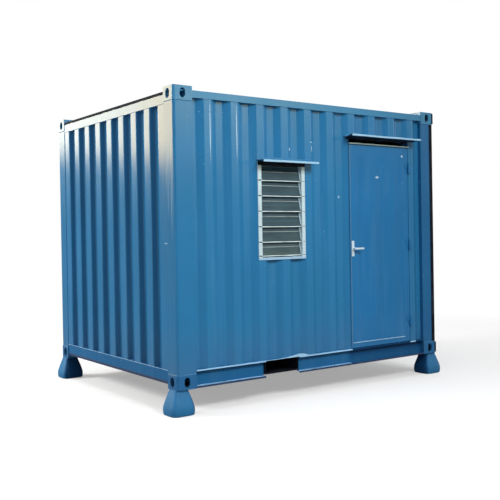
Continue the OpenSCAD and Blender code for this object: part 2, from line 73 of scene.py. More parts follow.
# Rings of a foot: share of its height, share of its half width and squareness.
FOOT_SIDES = 48
FOOT = (
    (0.000, 0.900, 5.0), (0.012, 0.935, 5.0), (0.035, 0.962, 5.0), (0.080, 0.984, 5.0),
    (0.150, 0.997, 5.0), (0.230, 0.999, 5.0), (0.310, 0.984, 5.0), (0.400, 0.945, 5.0),
    (0.500, 0.890, 5.0), (0.620, 0.815, 5.0), (0.740, 0.735, 5.0), (0.840, 0.668, 5.0),
    (0.920, 0.618, 5.2), (0.970, 0.588, 5.4), (1.000, 0.565, 5.6),
)


def length(name, text, value):
    """Property for a length in metres."""
    return FloatProperty(name=name, description=text, default=value, unit="LENGTH")


def angle(name, text, degrees):
    """Property for an angle."""
    return FloatProperty(name=name, description=text, default=math.radians(degrees), subtype="ANGLE")


def number(name, text, value):
    """Property for a plain number."""
    return FloatProperty(name=name, description=text, default=value)


def power(name, text, value):
    """Property for a lamp's power in watts."""
    return FloatProperty(name=name, description=text, default=value, subtype="POWER")


def tint(name, text, value):
    """Property for a linear colour."""
    return FloatVectorProperty(name=name, description=text, default=value, subtype="COLOR", size=3)


class CabinSheets(bpy.types.PropertyGroup):
    """Shape of the pressed wall and roof sheets"""

    side_pitch: length("Side Pitch", "Outer flat to outer flat, long walls", 0.260)
    side_flat: length("Side Flat", "Width of an outer flat, long walls", 0.072)
    side_slope: length("Side Slope", "Width of a slope, long walls", 0.060)
    side_deep: length("Side Depth", "Depth of the folds, long walls", 0.036)
    side_bend: length("Side Bend", "Bend radius, long walls", 0.022)
    end_pitch: length("End Pitch", "Outer flat to outer flat, end walls", 0.250)
    end_flat: length("End Flat", "Width of an outer flat, end walls", 0.110)
    end_slope: length("End Slope", "Width of a slope, end walls", 0.018)
    end_deep: length("End Depth", "Depth of the folds, end walls", 0.0456)
    end_bend: length("End Bend", "Bend radius, end walls", 0.018)
    roof_pitch: length("Roof Pitch", "Rib to rib on the roof", 0.209)
    roof_flat: length("Roof Flat", "Width of a rib's flat top", 0.091)
    roof_slope: length("Roof Slope", "Width of a rib's slope", 0.0135)
    roof_deep: length("Roof Depth", "Height of the ribs", 0.018)
    roof_bend: length("Roof Bend", "Bend radius of the ribs", 0.006)
    thick: length("Thickness", "Thickness of the sheets", 0.002)
    ripple: length("Ripple", "How far the sheets wander from true", 0.0022)
    rows: IntProperty(name="Rows", description="Rows of faces up a wall sheet", default=28, min=4, max=80)


class CabinGear(bpy.types.PropertyGroup):
    """Sizes of the window, the door and the small pieces"""

    leaf_border: length("Leaf Border", "Width of the flat border of the door leaf", 0.050)
    blades: IntProperty(name="Blades", description="Number of glass blades", default=6, min=2, max=12)
    blade_thick: length("Blade Thickness", "Thickness of a glass blade", 0.006)
    blade_lap: length("Blade Lap", "How far each blade overlaps the next", 0.014)
    blade_tilt: angle("Blade Tilt", "Lean of the blades", 13)
    channel: length("Channel", "Width of the window's side channels", 0.040)
    window_sill: length("Window Sill", "Height of the window's sill", 0.022)
    window_head: length("Window Head", "Height of the window's head", 0.030)
    hood_sheet: length("Hood Sheet", "Thickness of the hoods", 0.0025)
    hood_lip: length("Hood Lip", "Height of the lip on a hood's front", 0.017)
    hood_flange: length("Hood Flange", "Height of a hood's flange on the wall", 0.026)
    edge_round: length("Edge Round", "Radius of the upright edges of posts", 0.022)
    cast_round: length("Casting Round", "Radius of the edges of castings", 0.007)
    bead: length("Weld Bead", "Radius of the weld beads", 0.0042)
    # Roof bead: radius of the black beads along the roof's ends.
    roof_seal: length("Roof Seal", "Radius of the sealant at the roof's ends", 0.010)
    planks: IntProperty(name="Planks", description="Full planks across the floor", default=7, min=2, max=20)


class CabinColours(bpy.types.PropertyGroup):
    """Colours of the finishes, as linear values"""

    # Rail paint is darker than the walls' as painted shade of the rails' recess.
    rail: tint("Rail Paint", "Bottom rails", (0.011, 0.112, 0.265))
    paint: tint("Paint", "Walls and posts", (0.020, 0.160, 0.336))
    door: tint("Door Paint", "Leaf and jambs", (0.013, 0.147, 0.350))
    # Casting paint is paler than the walls' as painted light on the top castings and the long top rails; base
    # paint is its darker, shaded copy.
    casting: tint("Casting Paint", "Top corner castings and long top rails", (0.036, 0.185, 0.340))
    base: tint("Base Paint", "Bottom corner castings and the right front post", (0.012, 0.118, 0.285))
    foot: tint("Foot Paint", "Feet", (0.016, 0.148, 0.325))
    roof: tint("Roof Paint", "Roof sheet", (0.016, 0.140, 0.310))
    # Under paint is near black as painted shade in the hollows: the fork pocket, the bearers and the insides
    # of the castings.
    under: tint("Under Paint", "Bearers, fork pocket and the insides of the castings", (0.004, 0.006, 0.010))
    trim: tint("Trim", "Drip plate over the door", (0.300, 0.400, 0.370))
    alloy: tint("Alloy", "Window frame", (0.490, 0.640, 0.710))
    glass: tint("Glass", "Glass blades", (0.030, 0.070, 0.088))
    glass_edge: tint("Glass Edge", "Ground edges of the blades", (0.560, 0.690, 0.710))
    steel: tint("Steel", "Lock plates and lever", (0.620, 0.750, 0.850))
    wood: tint("Wood", "Floor boards", (0.150, 0.066, 0.028))
    scuff: tint("Scuffs", "Scuffs on the floor boards", (0.20, 0.17, 0.14))
    # Rubber is also the black of strips that paint shade at the post's edge, the window head and under the
    # door hood.
    rubber: tint("Rubber", "Seals and blade clips", (0.008, 0.010, 0.014))
    # Skirt is a dark navy painted shade, on the strips under the bottom rails and under the hoods.
    skirt: tint("Skirt", "Strips under the bottom rails", (0.006, 0.030, 0.085))
    # Worn edge is a pale paint that also paints highlights: on hood lips, the door leaf's edges, its drip
    # strip and cover strip, and the torn flap.
    edge: tint("Worn Edge", "Paint worn pale on edges", (0.270, 0.470, 0.640))
    # Worn lip is pale paint on the rails' lips, worn and also a painted highlight.
    lip: tint("Worn Lip", "Paint worn pale on the lips of the bottom rails", (0.300, 0.560, 0.820))
    # Chips: the pale primer of real chips, and the colour of the painted highlights.
    primer: tint("Chips", "Pale primer in the chips", (0.560, 0.740, 0.830))
    dust: tint("Dust", "Dust low on the walls", (0.140, 0.150, 0.250))
    # Painted shade: a dark blue under the door sill and on the inner faces of the feet.
    soot: tint("Soot", "Grime under the door sill and on the inner sides of the feet", (0.001, 0.033, 0.115))


class CabinStage(bpy.types.PropertyGroup):
    """Camera and light of the studio"""

    eye: FloatVectorProperty(
        name="Eye", description="Place of the camera", subtype="XYZ", default=(-4.573, -6.7415, 1.447)
    )
    yaw: angle("Yaw", "Turn of the view to the right", 37.20)
    pitch: angle("Pitch", "Rise of the view", -0.50)
    roll: angle("Roll", "Lean of the view", -0.95)
    focal: number("Focal", "Focal length as a share of the image", 793.9 / 500)
    shift: FloatVectorProperty(name="Shift", description="Shift of the lens", size=2, default=(-0.08, -0.02))
    ambient: number("Ambient", "Strength of the light from all round", 0.45)
    top: power("Top Light", "Power of the lamp overhead", 300.0)
    key: power("Key Light", "Power of the lamp before the door side", 80.0)
    end: power("End Light", "Power of the lamp beyond the left end", 890.0)
    end_card: number("End Card", "Glow that the left end mirrors", 10.0)
    front_card: number("Front Card", "Glow that the front mirrors", 2.5)
    side_card: number("Side Card", "Glow that the folds mirror", 4.0)
    floor: tint("Floor", "Colour of the floor", (0.62, 0.62, 0.62))
    floor_glow: number("Floor Glow", "Glow that lifts the floor's shadow", 0.34)
    bounce: tint("Bounce", "Colour of the floor as the cabin's underside sees it", (0.26, 0.26, 0.26))


def even_normals(mesh):
    """Corner normals weighed by face area, so flat faces stay flat beside their rounded edges."""
    own_weight = 0.001
    normals = [face.normal.copy() for face in mesh.polygons]
    areas = [face.area for face in mesh.polygons]
    around = [[] for _ in mesh.vertices]
    for face in mesh.polygons:
        for vert in face.vertices:
            around[vert].append(face.index)
    corners = []
    for face in mesh.polygons:
        own = normals[face.index]
        for vert in face.vertices:
            total = own * areas[face.index] * own_weight
            for other in around[vert]:
                if normals[other].dot(own) > SMOOTH:
                    total += normals[other] * areas[other]
            corners.append(total.normalized())
    return corners


def mesh_of(name, bm):
    """Mesh with the faces of a bmesh, which is freed."""
    mesh = bpy.data.meshes.new(name)
    bm.to_mesh(mesh)
    bm.free()
    return mesh


def linked(name, data):
    """New object in the scene."""
    item = bpy.data.objects.new(name, data)
    bpy.context.scene.collection.objects.link(item)
    return item


def shape_of(name, bm, finishes, slot, body="cabin", nodes=()):
    """Turns a bmesh into a piece that rides on a body, stands for CAD nodes and takes its finishes."""
    bmesh.ops.recalc_face_normals(bm, faces=bm.faces)
    mesh = mesh_of(name, bm)
    mesh.shade_smooth()
    mesh.normals_split_custom_set(even_normals(mesh))
    for finish in (finishes,) if isinstance(finishes, str) else finishes:
        mesh.materials.append(finish_of(finish))
    piece = linked(name, mesh)
    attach(piece, body)
    if nodes:
        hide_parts(*nodes)


def stand_for(node, ending, bm, *finishes):
    """Makes the piece that takes a CAD node's place, in the node's own finish unless others are named."""
    slot = NODE_SLOT[node]
    shape_of(node + ending, bm, finishes or slot, slot, NODE_BODY[node], (node,))


def dressed(node, finish, edge, cuts=(), segments=3, worn=None, pale="worn_edge"):
    """Copies a CAD node, cleans its faces, adds cuts, makes the faces that its test picks pale, which on the
    rails' lips is also a painted highlight, and rounds its edges.
    """
    bm = bmesh.new()
    bm.from_mesh(CAD_NODES[node].data)
    bmesh.ops.remove_doubles(bm, verts=bm.verts, dist=2e-5)
    bmesh.ops.dissolve_limit(bm, angle_limit=math.radians(1.0), verts=bm.verts, edges=bm.edges)
    for point, normal in cuts:
        everything = bm.verts[:] + bm.edges[:] + bm.faces[:]
        bmesh.ops.bisect_plane(bm, geom=everything, plane_co=point, plane_no=normal, dist=1e-6)
    finishes = [finish]
    if worn:
        bm.normal_update()
        for face in bm.faces:
            face.material_index = 1 if worn(face.calc_center_median(), face.normal) else 0
        finishes.append(pale)
    round_edges(bm, bm.edges, edge, segments)
    stand_for(node, "_dressed", bm, *finishes)


def round_edges(bm, edges, edge, segments=2, material=-1):
    """Rounds the sharp ones among the edges."""
    sharp = [e for e in edges if len(e.link_faces) == 2 and e.calc_face_angle() > SHARP]
    form = {"offset": edge, "segments": segments, "profile": 0.5, "affect": "EDGES", "clamp_overlap": True}
    bmesh.ops.bevel(bm, geom=sharp, material=material, **form)


def add_block(bm, one, other, edge, turn=None, material=0):
    """Adds a block with rounded edges between two opposite corners, turned about its middle."""
    one, other = Vector(one), Vector(other)
    spread = Matrix.Diagonal((*(abs(d) for d in other - one), 1.0))
    place = Matrix.Translation((one + other) / 2) @ (turn or Matrix.Identity(4)) @ spread
    before = set(bm.faces)
    corners = bmesh.ops.create_cube(bm, size=1.0, matrix=place)["verts"]
    round_edges(bm, {e for v in corners for e in v.link_edges}, edge)
    for face in set(bm.faces) - before:
        face.material_index = material


def ring_of(bm, sides, place):
    """Ring of points, with place giving each point's position for a cosine and a sine."""
    turns = [2 * math.pi * i / sides for i in range(sides)]
    return [bm.verts.new(place(math.cos(a), math.sin(a))) for a in turns]


def add_skin(bm, rings, material=0, pick=None):
    """Adds a closed skin over a row of rings, with pick giving the material of each face round them."""
    for cap in (rings[0][::-1], rings[-1]):
        bm.faces.new(cap).material_index = material
    for lower, upper in zip(rings, rings[1:]):
        for i in range(len(lower)):
            j = (i + 1) % len(lower)
            face = bm.faces.new((lower[i], lower[j], upper[j], upper[i]))
            face.material_index = pick(i) if pick else material


def add_dome(bm, centre, normal, radius, rise, sides=12, material=0):
    """Adds a low round head, such as a rivet's, standing on a face."""
    turn = Vector(normal).to_track_quat("Z", "Y").to_matrix()
    rings = []
    for wide, lift in DOME:

        def place(c, s):
            return Vector(centre) + turn @ Vector((c * radius * wide, s * radius * wide, rise * lift))

        rings.append(ring_of(bm, sides, place))
    add_skin(bm, rings, material)


def add_tube(bm, path, radius, sides=8):
    """Adds a tube along a path, with radius giving its size at a distance along it."""
    far, rings = 0.0, []
    for k, here in enumerate(path):
        ahead = (path[min(k + 1, len(path) - 1)] - path[max(k - 1, 0)]).normalized()
        side = ahead.cross(Vector((0, 0, 1)))
        side = side.normalized() if side.length > 1e-4 else Vector((1, 0, 0))
        above = side.cross(ahead)
        far += (here - path[k - 1]).length if k else 0.0
        size = radius(far)
        rings.append(ring_of(bm, sides, lambda c, s: here + side * c * size + above * s * size))
    add_skin(bm, rings)


def denser(points, step):
    """Adds points so that none is further than step from the next."""
    full = [points[0]]
    for here, after in zip(points, points[1:]):
        count = max(1, math.ceil((after - here).length / step))
        full += [here.lerp(after, i / count) for i in range(1, count + 1)]
    return full


def fold_sizes(press, kind):
    """Pitch, flat, slope and depth of one kind of sheet."""
    return [getattr(press, f"{kind}_{size}") for size in ("pitch", "flat", "slope", "deep")]


def fold_line(low, high, centre, pitch, flat, slope, deep):
    """Points of a folded sheet from low to high, as place along the wall and depth behind its outer flats."""

    def depth(u):
        off = abs(u - centre - pitch * round((u - centre) / pitch))
        return deep * min(1.0, max(0.0, (off - flat / 2) / slope))

    line, gap = [(low, depth(low))], 0.0005
    first = math.floor((low - centre) / pitch) - 1
    for k in range(first, math.ceil((high - centre) / pitch) + 2):
        for edge in (-flat / 2 - slope, -flat / 2, flat / 2, flat / 2 + slope):
            u = centre + k * pitch + edge
            if low + gap < u < high - gap:
                line.append((u, depth(u)))
    line.append((high, depth(high)))
    return [Vector(p) for p in line]


def rounded_line(line, radius, steps=4):
    """Rounds the bends of a line of points, over no more than a share of its straight parts."""
    soft, straight, most = [line[0]], 1.56, 0.45
    for before, here, after in zip(line, line[1:], line[2:]):
        back, ahead = before - here, after - here
        half = back.angle(ahead) / 2
        reach = radius / math.tan(half) if half < straight else 0.0
        reach = min(reach, most * back.length, most * ahead.length)
        if reach < 1e-5:
            soft.append(here)
            continue
        start, end = here + back.normalized() * reach, here + ahead.normalized() * reach
        for i in range(steps + 1):
            t = i / steps
            soft.append(start * (1 - t) ** 2 + here * (2 * t * (1 - t)) + end * t ** 2)
    soft.append(line[-1])
    return soft


def offset_line(line, thick):
    """Line at the sheet's thickness behind another."""
    moved = []
    for i, here in enumerate(line):
        along = line[min(i + 1, len(line) - 1)] - line[max(i - 1, 0)]
        moved.append(here + Vector((-along.y, along.x)).normalized() * thick)
    return moved


def add_sheet(bm, line, thick, low, high, rows, place, pick=None):
    """Adds a closed sheet: a folded line drawn from low to high, with place giving each point's position."""
    loop = line + offset_line(line, thick)[::-1]
    count, half = len(loop), len(line)
    rings = []
    for j in range(rows + 1):
        h = low + (high - low) * j / rows
        rings.append([bm.verts.new(place(p.x, p.y, h)) for p in loop])
    for lower, upper in zip(rings, rings[1:]):
        for i in range(count):
            j = (i + 1) % count
            face = bm.faces.new((lower[i], lower[j], upper[j], upper[i]))
            if pick:
                face.material_index = pick(loop[i], loop[j], half <= i < count - 1)
    for ring in (rings[0], rings[-1]):
        for i in range(half - 1):
            bm.faces.new((ring[i], ring[i + 1], ring[count - 2 - i], ring[count - 1 - i]))


def wander(u, h, low, high, amount, seed):
    """Slight buckle of a pressed sheet, none at its edges."""
    margin = 0.12
    hold = min(1.0, (h - low) / margin, (high - h) / margin)
    return amount * hold * noise.noise(Vector((u * 2.6, h * 1.1, seed)))


def corner_of(node):
    """Lowest outer point and highest inner point of a corner piece, and the signs that lead inward and up."""
    low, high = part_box(node)
    left, front = "left" in node, "front" in node
    outer = Vector((low.x if left else high.x, low.y if front else high.y, low.z))
    inner = Vector((high.x if left else low.x, high.y if front else low.y, high.z))
    return outer, inner, Vector((1 if left else -1, 1 if front else -1, 1))


def round_corner(outer, inward, radius, end):
    """Line round an upright edge: from end's x on the front or rear face to end's y on the end face."""
    middle = outer.xy + inward.xy * radius
    turns = [math.pi / 2 * i / 8 for i in range(9)]
    arc = [middle - inward.xy * Vector((math.sin(a), math.cos(a))) * radius for a in turns]
    return [Vector((end.x, outer.y)), *arc, Vector((outer.x, end.y))]


def shade(colour, strength):
    """Colour at a share of its strength."""
    return tuple(min(1.0, c * strength) for c in colour)


class Finish:
    """Nodes of a material, or of the world, with short ways to add them and join them."""

    def __init__(self, name, block=None):
        self.block = block or bpy.data.materials.new(name)
        self.block.use_nodes = True
        self.nodes = self.block.node_tree.nodes
        self.shader = self.nodes.get("Principled BSDF") or self.nodes["Background"]

    def put(self, node, sockets):
        """Joins or sets the inputs of a node, each given as a socket or as a value."""
        for key, value in sockets.items():
            if isinstance(value, bpy.types.NodeSocket):
                self.block.node_tree.links.new(value, node.inputs[key])
            else:
                node.inputs[key].default_value = value

    def add(self, kind, sockets=None, **props):
        """Adds a node with its properties and its inputs."""
        node = self.nodes.new(kind)
        for key, value in props.items():
            setattr(node, key, value)
        self.put(node, sockets or {})
        return node

    def done(self, sockets):
        """Feeds the shader."""
        self.put(self.shader, sockets)
        return self.block

    def show(self, surface):
        """Puts a shader of its own on the surface."""
        self.put(self.nodes["Material Output"], {"Surface": surface})

    def place(self):
        """Place in the piece's own space."""
        node = self.nodes.get("Texture Coordinate") or self.add("ShaderNodeTexCoord")
        return node.outputs["Object"]

    def axes(self, vector):
        """Parts of a vector along X, Y and Z."""
        return self.add("ShaderNodeSeparateXYZ", {"Vector": vector}).outputs

    def noise(self, scale, stretch=(1, 1, 1), detail=4.0, rough=0.55):
        """Noise in the piece's own space."""
        spot = self.add("ShaderNodeMapping", {"Vector": self.place(), "Scale": stretch}).outputs["Vector"]
        sockets = {"Vector": spot, "Scale": scale, "Detail": detail, "Roughness": rough}
        return self.add("ShaderNodeTexNoise", sockets).outputs["Fac"]

    def ranged(self, value, low, high, to_low=0.0, to_high=1.0):
        """Maps a value from one span to another, clamped."""
        sockets = {"Value": value, "From Min": low, "From Max": high, "To Min": to_low, "To Max": to_high}
        return self.add("ShaderNodeMapRange", sockets).outputs["Result"]

    def worked(self, operation, total, *others):
        """Result of one operation over two or more values, from first to last."""
        for value in others:
            total = self.add("ShaderNodeMath", {0: total, 1: value}, operation=operation).outputs["Value"]
        return total

    def vector(self, operation, *values):
        """Node that works on vectors."""
        return self.add("ShaderNodeVectorMath", dict(enumerate(values)), operation=operation).outputs

    def mixed(self, factor, one, other):
        """Mix of two colours, each a socket or a colour."""
        one, other = (c if isinstance(c, bpy.types.NodeSocket) else (*c, 1.0) for c in (one, other))
        sockets = {"Factor": factor, "A": one, "B": other}
        return self.add("ShaderNodeMix", sockets, data_type="RGBA").outputs["Result"]

    def toned(self, value, low, high, colour, dark, light):
        """Colour that runs from a dark to a light share of itself as a value runs from low to high."""
        return self.mixed(self.ranged(value, low, high), shade(colour, dark), shade(colour, light))

    def bump(self, height, strength, distance, under=None):
        """Normal of a rough skin, on top of another one."""
        sockets = {"Height": height, "Strength": strength, "Distance": distance}
        if under:
            sockets["Normal"] = under
        return self.add("ShaderNodeBump", sockets).outputs["Normal"]


def glint_mask(paint, knocks):
    """Mask of single painted highlights on the paint, each a place, its half sizes and its strength."""
    ragged = paint.noise(90.0, detail=3.0)
    masks = []
    for spot, half, strength in knocks:
        off = paint.vector("SUBTRACT", paint.place(), spot)["Vector"]
        reach = paint.vector("LENGTH", paint.vector("DIVIDE", off, half)["Vector"])["Value"]
        masks.append(paint.ranged(paint.worked("ADD", reach, ragged), 1.1, 1.6, strength, 0.0))
    return paint.worked("MAXIMUM", *masks)


def sill_shadow_mask(paint, axes):
    """Mask of the front bottom rail under the door, where its shade is painted, strongest near its top."""
    edge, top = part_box("door_leaf")[0].x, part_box("bottom_rail_front")[1].z
    along = paint.ranged(axes["X"], edge - 0.03, edge + 0.02)
    front = paint.ranged(axes["Y"], -1.10, -1.00, 1.0, 0.0)
    above = paint.ranged(axes["Z"], top - 0.110, top - 0.030, 0.30, 0.85)
    return paint.worked("MULTIPLY", along, front, above)


def inner_shade_mask(paint, axes):
    """Mask of the faces that turn in under the cabin, where their shade is painted."""
    facing = paint.axes(paint.add("ShaderNodeNewGeometry").outputs["Normal"])
    parts = [paint.worked("MULTIPLY", facing[a], paint.worked("SIGN", axes[a], 0.0)) for a in "XY"]
    return paint.ranged(paint.worked("MINIMUM", *parts), -0.85, -0.35, 0.85, 0.0)


def worn_paint(name, colour, gloss=0.15, chips=0.5, dust=0.25, level=0.5):
    """Sprayed gloss paint with slow tone changes, rain streaks, dust low down and small chips, and for some
    finishes painted highlights and painted shade.
    """
    tints = bpy.context.scene.cabin_colours
    paint = Finish(name)
    axes = paint.axes(paint.place())
    base = paint.toned(paint.noise(1.1, detail=5.0), 0.3, 0.7, colour, 0.93, 1.07)
    streak = paint.noise(1.0, (17, 17, 0.55), 3.0)
    base = paint.mixed(paint.ranged(streak, 0.52, 0.74, 0.0, 0.22), base, shade(colour, 0.76))
    bleach = paint.noise(1.0, (9, 9, 0.8))
    base = paint.mixed(paint.ranged(bleach, 0.54, 0.78, 0.0, 0.03), base, tints.primer[:])
    low = paint.ranged(axes["Z"], 0.30, 0.75, 1.0, 0.0)
    soiled = paint.worked("MULTIPLY", low, paint.noise(7.0, detail=6.0, rough=0.7), dust)
    base = paint.mixed(soiled, base, tints.dust[:])
    patch = paint.ranged(paint.noise(2.3), 0.50, 0.66)
    fleck = paint.ranged(paint.noise(62.0, detail=2.0), 0.715, 0.745)
    chips_and_glints = paint.worked("MULTIPLY", patch, fleck, chips)
    # Painted highlights, in the primer's pale colour.
    if name in GLINT_TABLE:
        chips_and_glints = paint.worked("MAXIMUM", chips_and_glints, glint_mask(paint, GLINT_TABLE[name]))
    base = paint.mixed(chips_and_glints, base, tints.primer[:])
    # Painted shade, where a finish has a mask for it.
    if name in SHADE_MASKS:
        base = paint.mixed(SHADE_MASKS[name](paint, axes), base, tints.soot[:])
    matt = paint.noise(4.0, (1, 1, 0.4), 5.0)
    dull = paint.ranged(matt, 0.3, 0.7, gloss - 0.03, gloss + 0.07)
    dull = paint.worked("ADD", dull, paint.worked("MULTIPLY", soiled, 0.5))
    skin = paint.bump(paint.noise(240.0, detail=1.0), 0.05, 0.0006)
    swell = paint.bump(paint.noise(3.2, (1, 1, 0.5), 2.0), 0.12, 0.02, skin)
    plain = {"IOR": 1.37, "Specular IOR Level": level}
    return paint.done({"Base Color": base, "Roughness": dull, "Normal": swell, **plain})


def brushed_metal(name, colour, rough=0.34, drawn=40, metallic=0.12):
    """Metal with a drawn grain and dull patches."""
    metal = Finish(name)
    grain, spots = metal.noise(6.0, (1, 1, drawn)), metal.noise(9.0, detail=5.0)
    base = metal.toned(grain, 0.3, 0.7, colour, 0.84, 1.08)
    base = metal.mixed(metal.ranged(spots, 0.5, 0.75, 0.0, 0.4), base, shade(colour, 0.62))
    dull = metal.ranged(spots, 0.3, 0.7, rough - 0.08, rough + 0.12)
    ridge = metal.bump(grain, 0.08, 0.0004)
    return metal.done({"Base Color": base, "Roughness": dull, "Normal": ridge, "Metallic": metallic})


def dusty_glass(name, colour):
    """Grey green glass with a film of dust that rain has washed into bands."""
    glass = Finish(name)
    film, bands = glass.noise(5.0, (1, 1, 2.2), 6.0), glass.noise(1.0, (0.6, 0.6, 46), 2.0)
    base = glass.toned(film, 0.35, 0.75, colour, 0.86, 1.25)
    base = glass.mixed(glass.ranged(bands, 0.5, 0.72, 0.0, 0.45), base, shade(colour, 1.9))
    dull = glass.ranged(film, 0.3, 0.8, 0.06, 0.22)
    plain = {"IOR": 1.5, "Specular IOR Level": 0.26, "Transmission Weight": 0.25}
    return glass.done({"Base Color": base, "Roughness": dull, **plain})


def ground_glass(name, colour):
    """Ground edge of a glass blade."""
    glass = Finish(name)
    nick = glass.noise(30.0, (0.3, 1, 1))
    base = glass.toned(nick, 0.35, 0.7, colour, 0.7, 1.15)
    return glass.done({"Base Color": base, "Roughness": glass.ranged(nick, 0.3, 0.7, 0.25, 0.5)})


def board_wood(name, colour):
    """Oiled plywood with long grain and scuffs."""
    wood = Finish(name)
    grain, scuff = wood.noise(3.0, (1, 22, 22), 8.0, 0.65), wood.noise(2.2, detail=6.0)
    base = wood.toned(grain, 0.3, 0.7, colour, 0.55, 1.35)
    pale = bpy.context.scene.cabin_colours.scuff[:]
    base = wood.mixed(wood.ranged(scuff, 0.55, 0.75, 0.0, 0.5), base, pale)
    dull = wood.ranged(scuff, 0.3, 0.7, 0.42, 0.7)
    return wood.done({"Base Color": base, "Roughness": dull, "Normal": wood.bump(grain, 0.25, 0.001)})


# This black also paints shade, on strips at the post's edge, the window head and under the door hood.
def seal_rubber(name, colour):
    """Dull black rubber with a dusty bloom."""
    rubber = Finish(name)
    bloom = rubber.noise(14.0, detail=5.0)
    base = rubber.toned(bloom, 0.4, 0.75, colour, 1.0, 3.0)
    dull = rubber.ranged(bloom, 0.3, 0.7, 0.55, 0.8)
    return rubber.done({"Base Color": base, "Roughness": dull, "Specular IOR Level": 0.01})


# Strength of a painted highlight in the full primer colour.
FULL_GLINT = 0.72
# Painted highlights on the front wall: glints on small dents, and thin lines where fold bends near the top
# catch the light.
WALL_GLINTS = (
    ((0.257, -1.170, 1.774), (0.012, 0.060, 0.014), FULL_GLINT),
    ((-0.321, -1.170, 2.187), (0.012, 0.060, 0.016), FULL_GLINT),
    ((-0.078, -1.170, 2.205), (0.007, 0.060, 0.030), FULL_GLINT),
    ((-0.082, -1.170, 2.261), (0.022, 0.060, 0.006), FULL_GLINT),
    ((-1.148, -1.170, 2.300), (0.004, 0.030, 0.250), FULL_GLINT),
    ((-0.889, -1.170, 2.300), (0.004, 0.030, 0.240), FULL_GLINT),
)
# Painted reflection on the near post's left face: pale streaks running down, and one glint.
POST_GLINTS = (
    ((-1.492, -1.019, 1.379), (0.020, 0.030, 0.004), FULL_GLINT),
    ((-1.492, -1.052, 1.980), (0.020, 0.003, 0.260), 0.30),
    ((-1.492, -1.075, 1.900), (0.020, 0.004, 0.330), 0.26),
    ((-1.492, -1.096, 2.020), (0.020, 0.003, 0.200), 0.24),
    ((-1.492, -1.128, 1.780), (0.020, 0.004, 0.420), 0.28),
    ((-1.492, -1.146, 1.920), (0.020, 0.003, 0.300), 0.22),
)
# Painted glints on the door.
DOOR_GLINTS = (
    ((1.054, -1.172, 2.184), (0.014, 0.020, 0.014), FULL_GLINT),
    ((0.722, -1.172, 1.969), (0.028, 0.020, 0.013), FULL_GLINT),
)
GLINT_TABLE = {"cabin_paint": WALL_GLINTS + POST_GLINTS, "post_paint": POST_GLINTS, "door_paint": DOOR_GLINTS}
# Masks of painted shade for some finishes.
SHADE_MASKS = {"foot_paint": inner_shade_mask, "rail_paint": sill_shadow_mask}
# Each finish: its maker, its colour, the share of that colour and the maker's other values.
RECIPES = {
    "cabin_paint": (worn_paint, "paint", 1.0, {}),
    "roof_paint": (worn_paint, "roof", 1.0, {"gloss": 0.60, "chips": 0.8, "dust": 0.6, "level": 0.12}),
    # A paler, lit copy and a darker, shaded copy of the castings' paint: painted light on top, painted shade
    # below and on the right front post.
    "casting_paint": (worn_paint, "casting", 1.0, {"gloss": 0.18, "chips": 0.9}),
    "base_paint": (worn_paint, "base", 1.0, {"gloss": 0.18, "chips": 0.9, "dust": 0.1}),
    # The posts' paint is the walls' blue, a little darker as painted shade.
    "post_paint": (worn_paint, "paint", 0.96, {"level": 0.44}),
    # The feet's paint takes a painted shade on their inner faces.
    "foot_paint": (worn_paint, "foot", 1.0, {"gloss": 0.45, "chips": 0.7, "dust": 0.12, "level": 0.22}),
    "door_paint": (worn_paint, "door", 1.0, {"chips": 0.35, "dust": 0.15}),
    # The bottom rails' paint is darker than the walls' as painted shade.
    "rail_paint": (worn_paint, "rail", 1.0, {"gloss": 0.22, "chips": 0.3, "dust": 0.05, "level": 0.2}),
    # Pale paints for lips and edges, which also paint their highlights.
    "lip_edge": (worn_paint, "lip", 1.0, {"gloss": 0.22, "chips": 0.6, "dust": 0.1}),
    "soft_edge": (worn_paint, "edge", 0.45, {"chips": 0.2, "dust": 0.1}),
    "worn_edge": (worn_paint, "edge", 1.0, {"gloss": 0.22, "chips": 0.6, "dust": 0.2}),
    # Dark navy painted shade.
    "skirt_paint": (worn_paint, "skirt", 1.0, {"gloss": 0.4, "chips": 0.2, "level": 0.2}),
    # Near-black paint, painted shade in hollows.
    "frame_paint": (worn_paint, "under", 1.0, {"gloss": 0.75, "chips": 0.0, "dust": 0.1, "level": 0.08}),
    "door_trim": (worn_paint, "trim", 1.0, {"gloss": 0.45, "chips": 0.2, "dust": 0.1}),
    "window_alloy": (brushed_metal, "alloy", 1.0, {"rough": 0.42}),
    "lock_steel": (brushed_metal, "steel", 1.0, {"drawn": 30, "metallic": 0.2}),
    "window_glass": (dusty_glass, "glass", 1.0, {}),
    "glass_edge": (ground_glass, "glass_edge", 1.0, {}),
    "dust_line": (ground_glass, "glass_edge", 0.45, {}),
    "floor_wood": (board_wood, "wood", 1.0, {}),
    # Black rubber, which also paints shade on strips at the post's edge, the window head and under the door
    # hood.
    "seal_rubber": (seal_rubber, "rubber", 1.0, {}),
}
FINISHES = {}


def finish_of(name):
    """Finish of a name, made on first use."""
    if name not in FINISHES:
        maker, colour, strength, values = RECIPES[name]
        colour = getattr(bpy.context.scene.cabin_colours, colour)[:]
        FINISHES[name] = maker(name, shade(colour, strength), **values)
    return FINISHES[name]


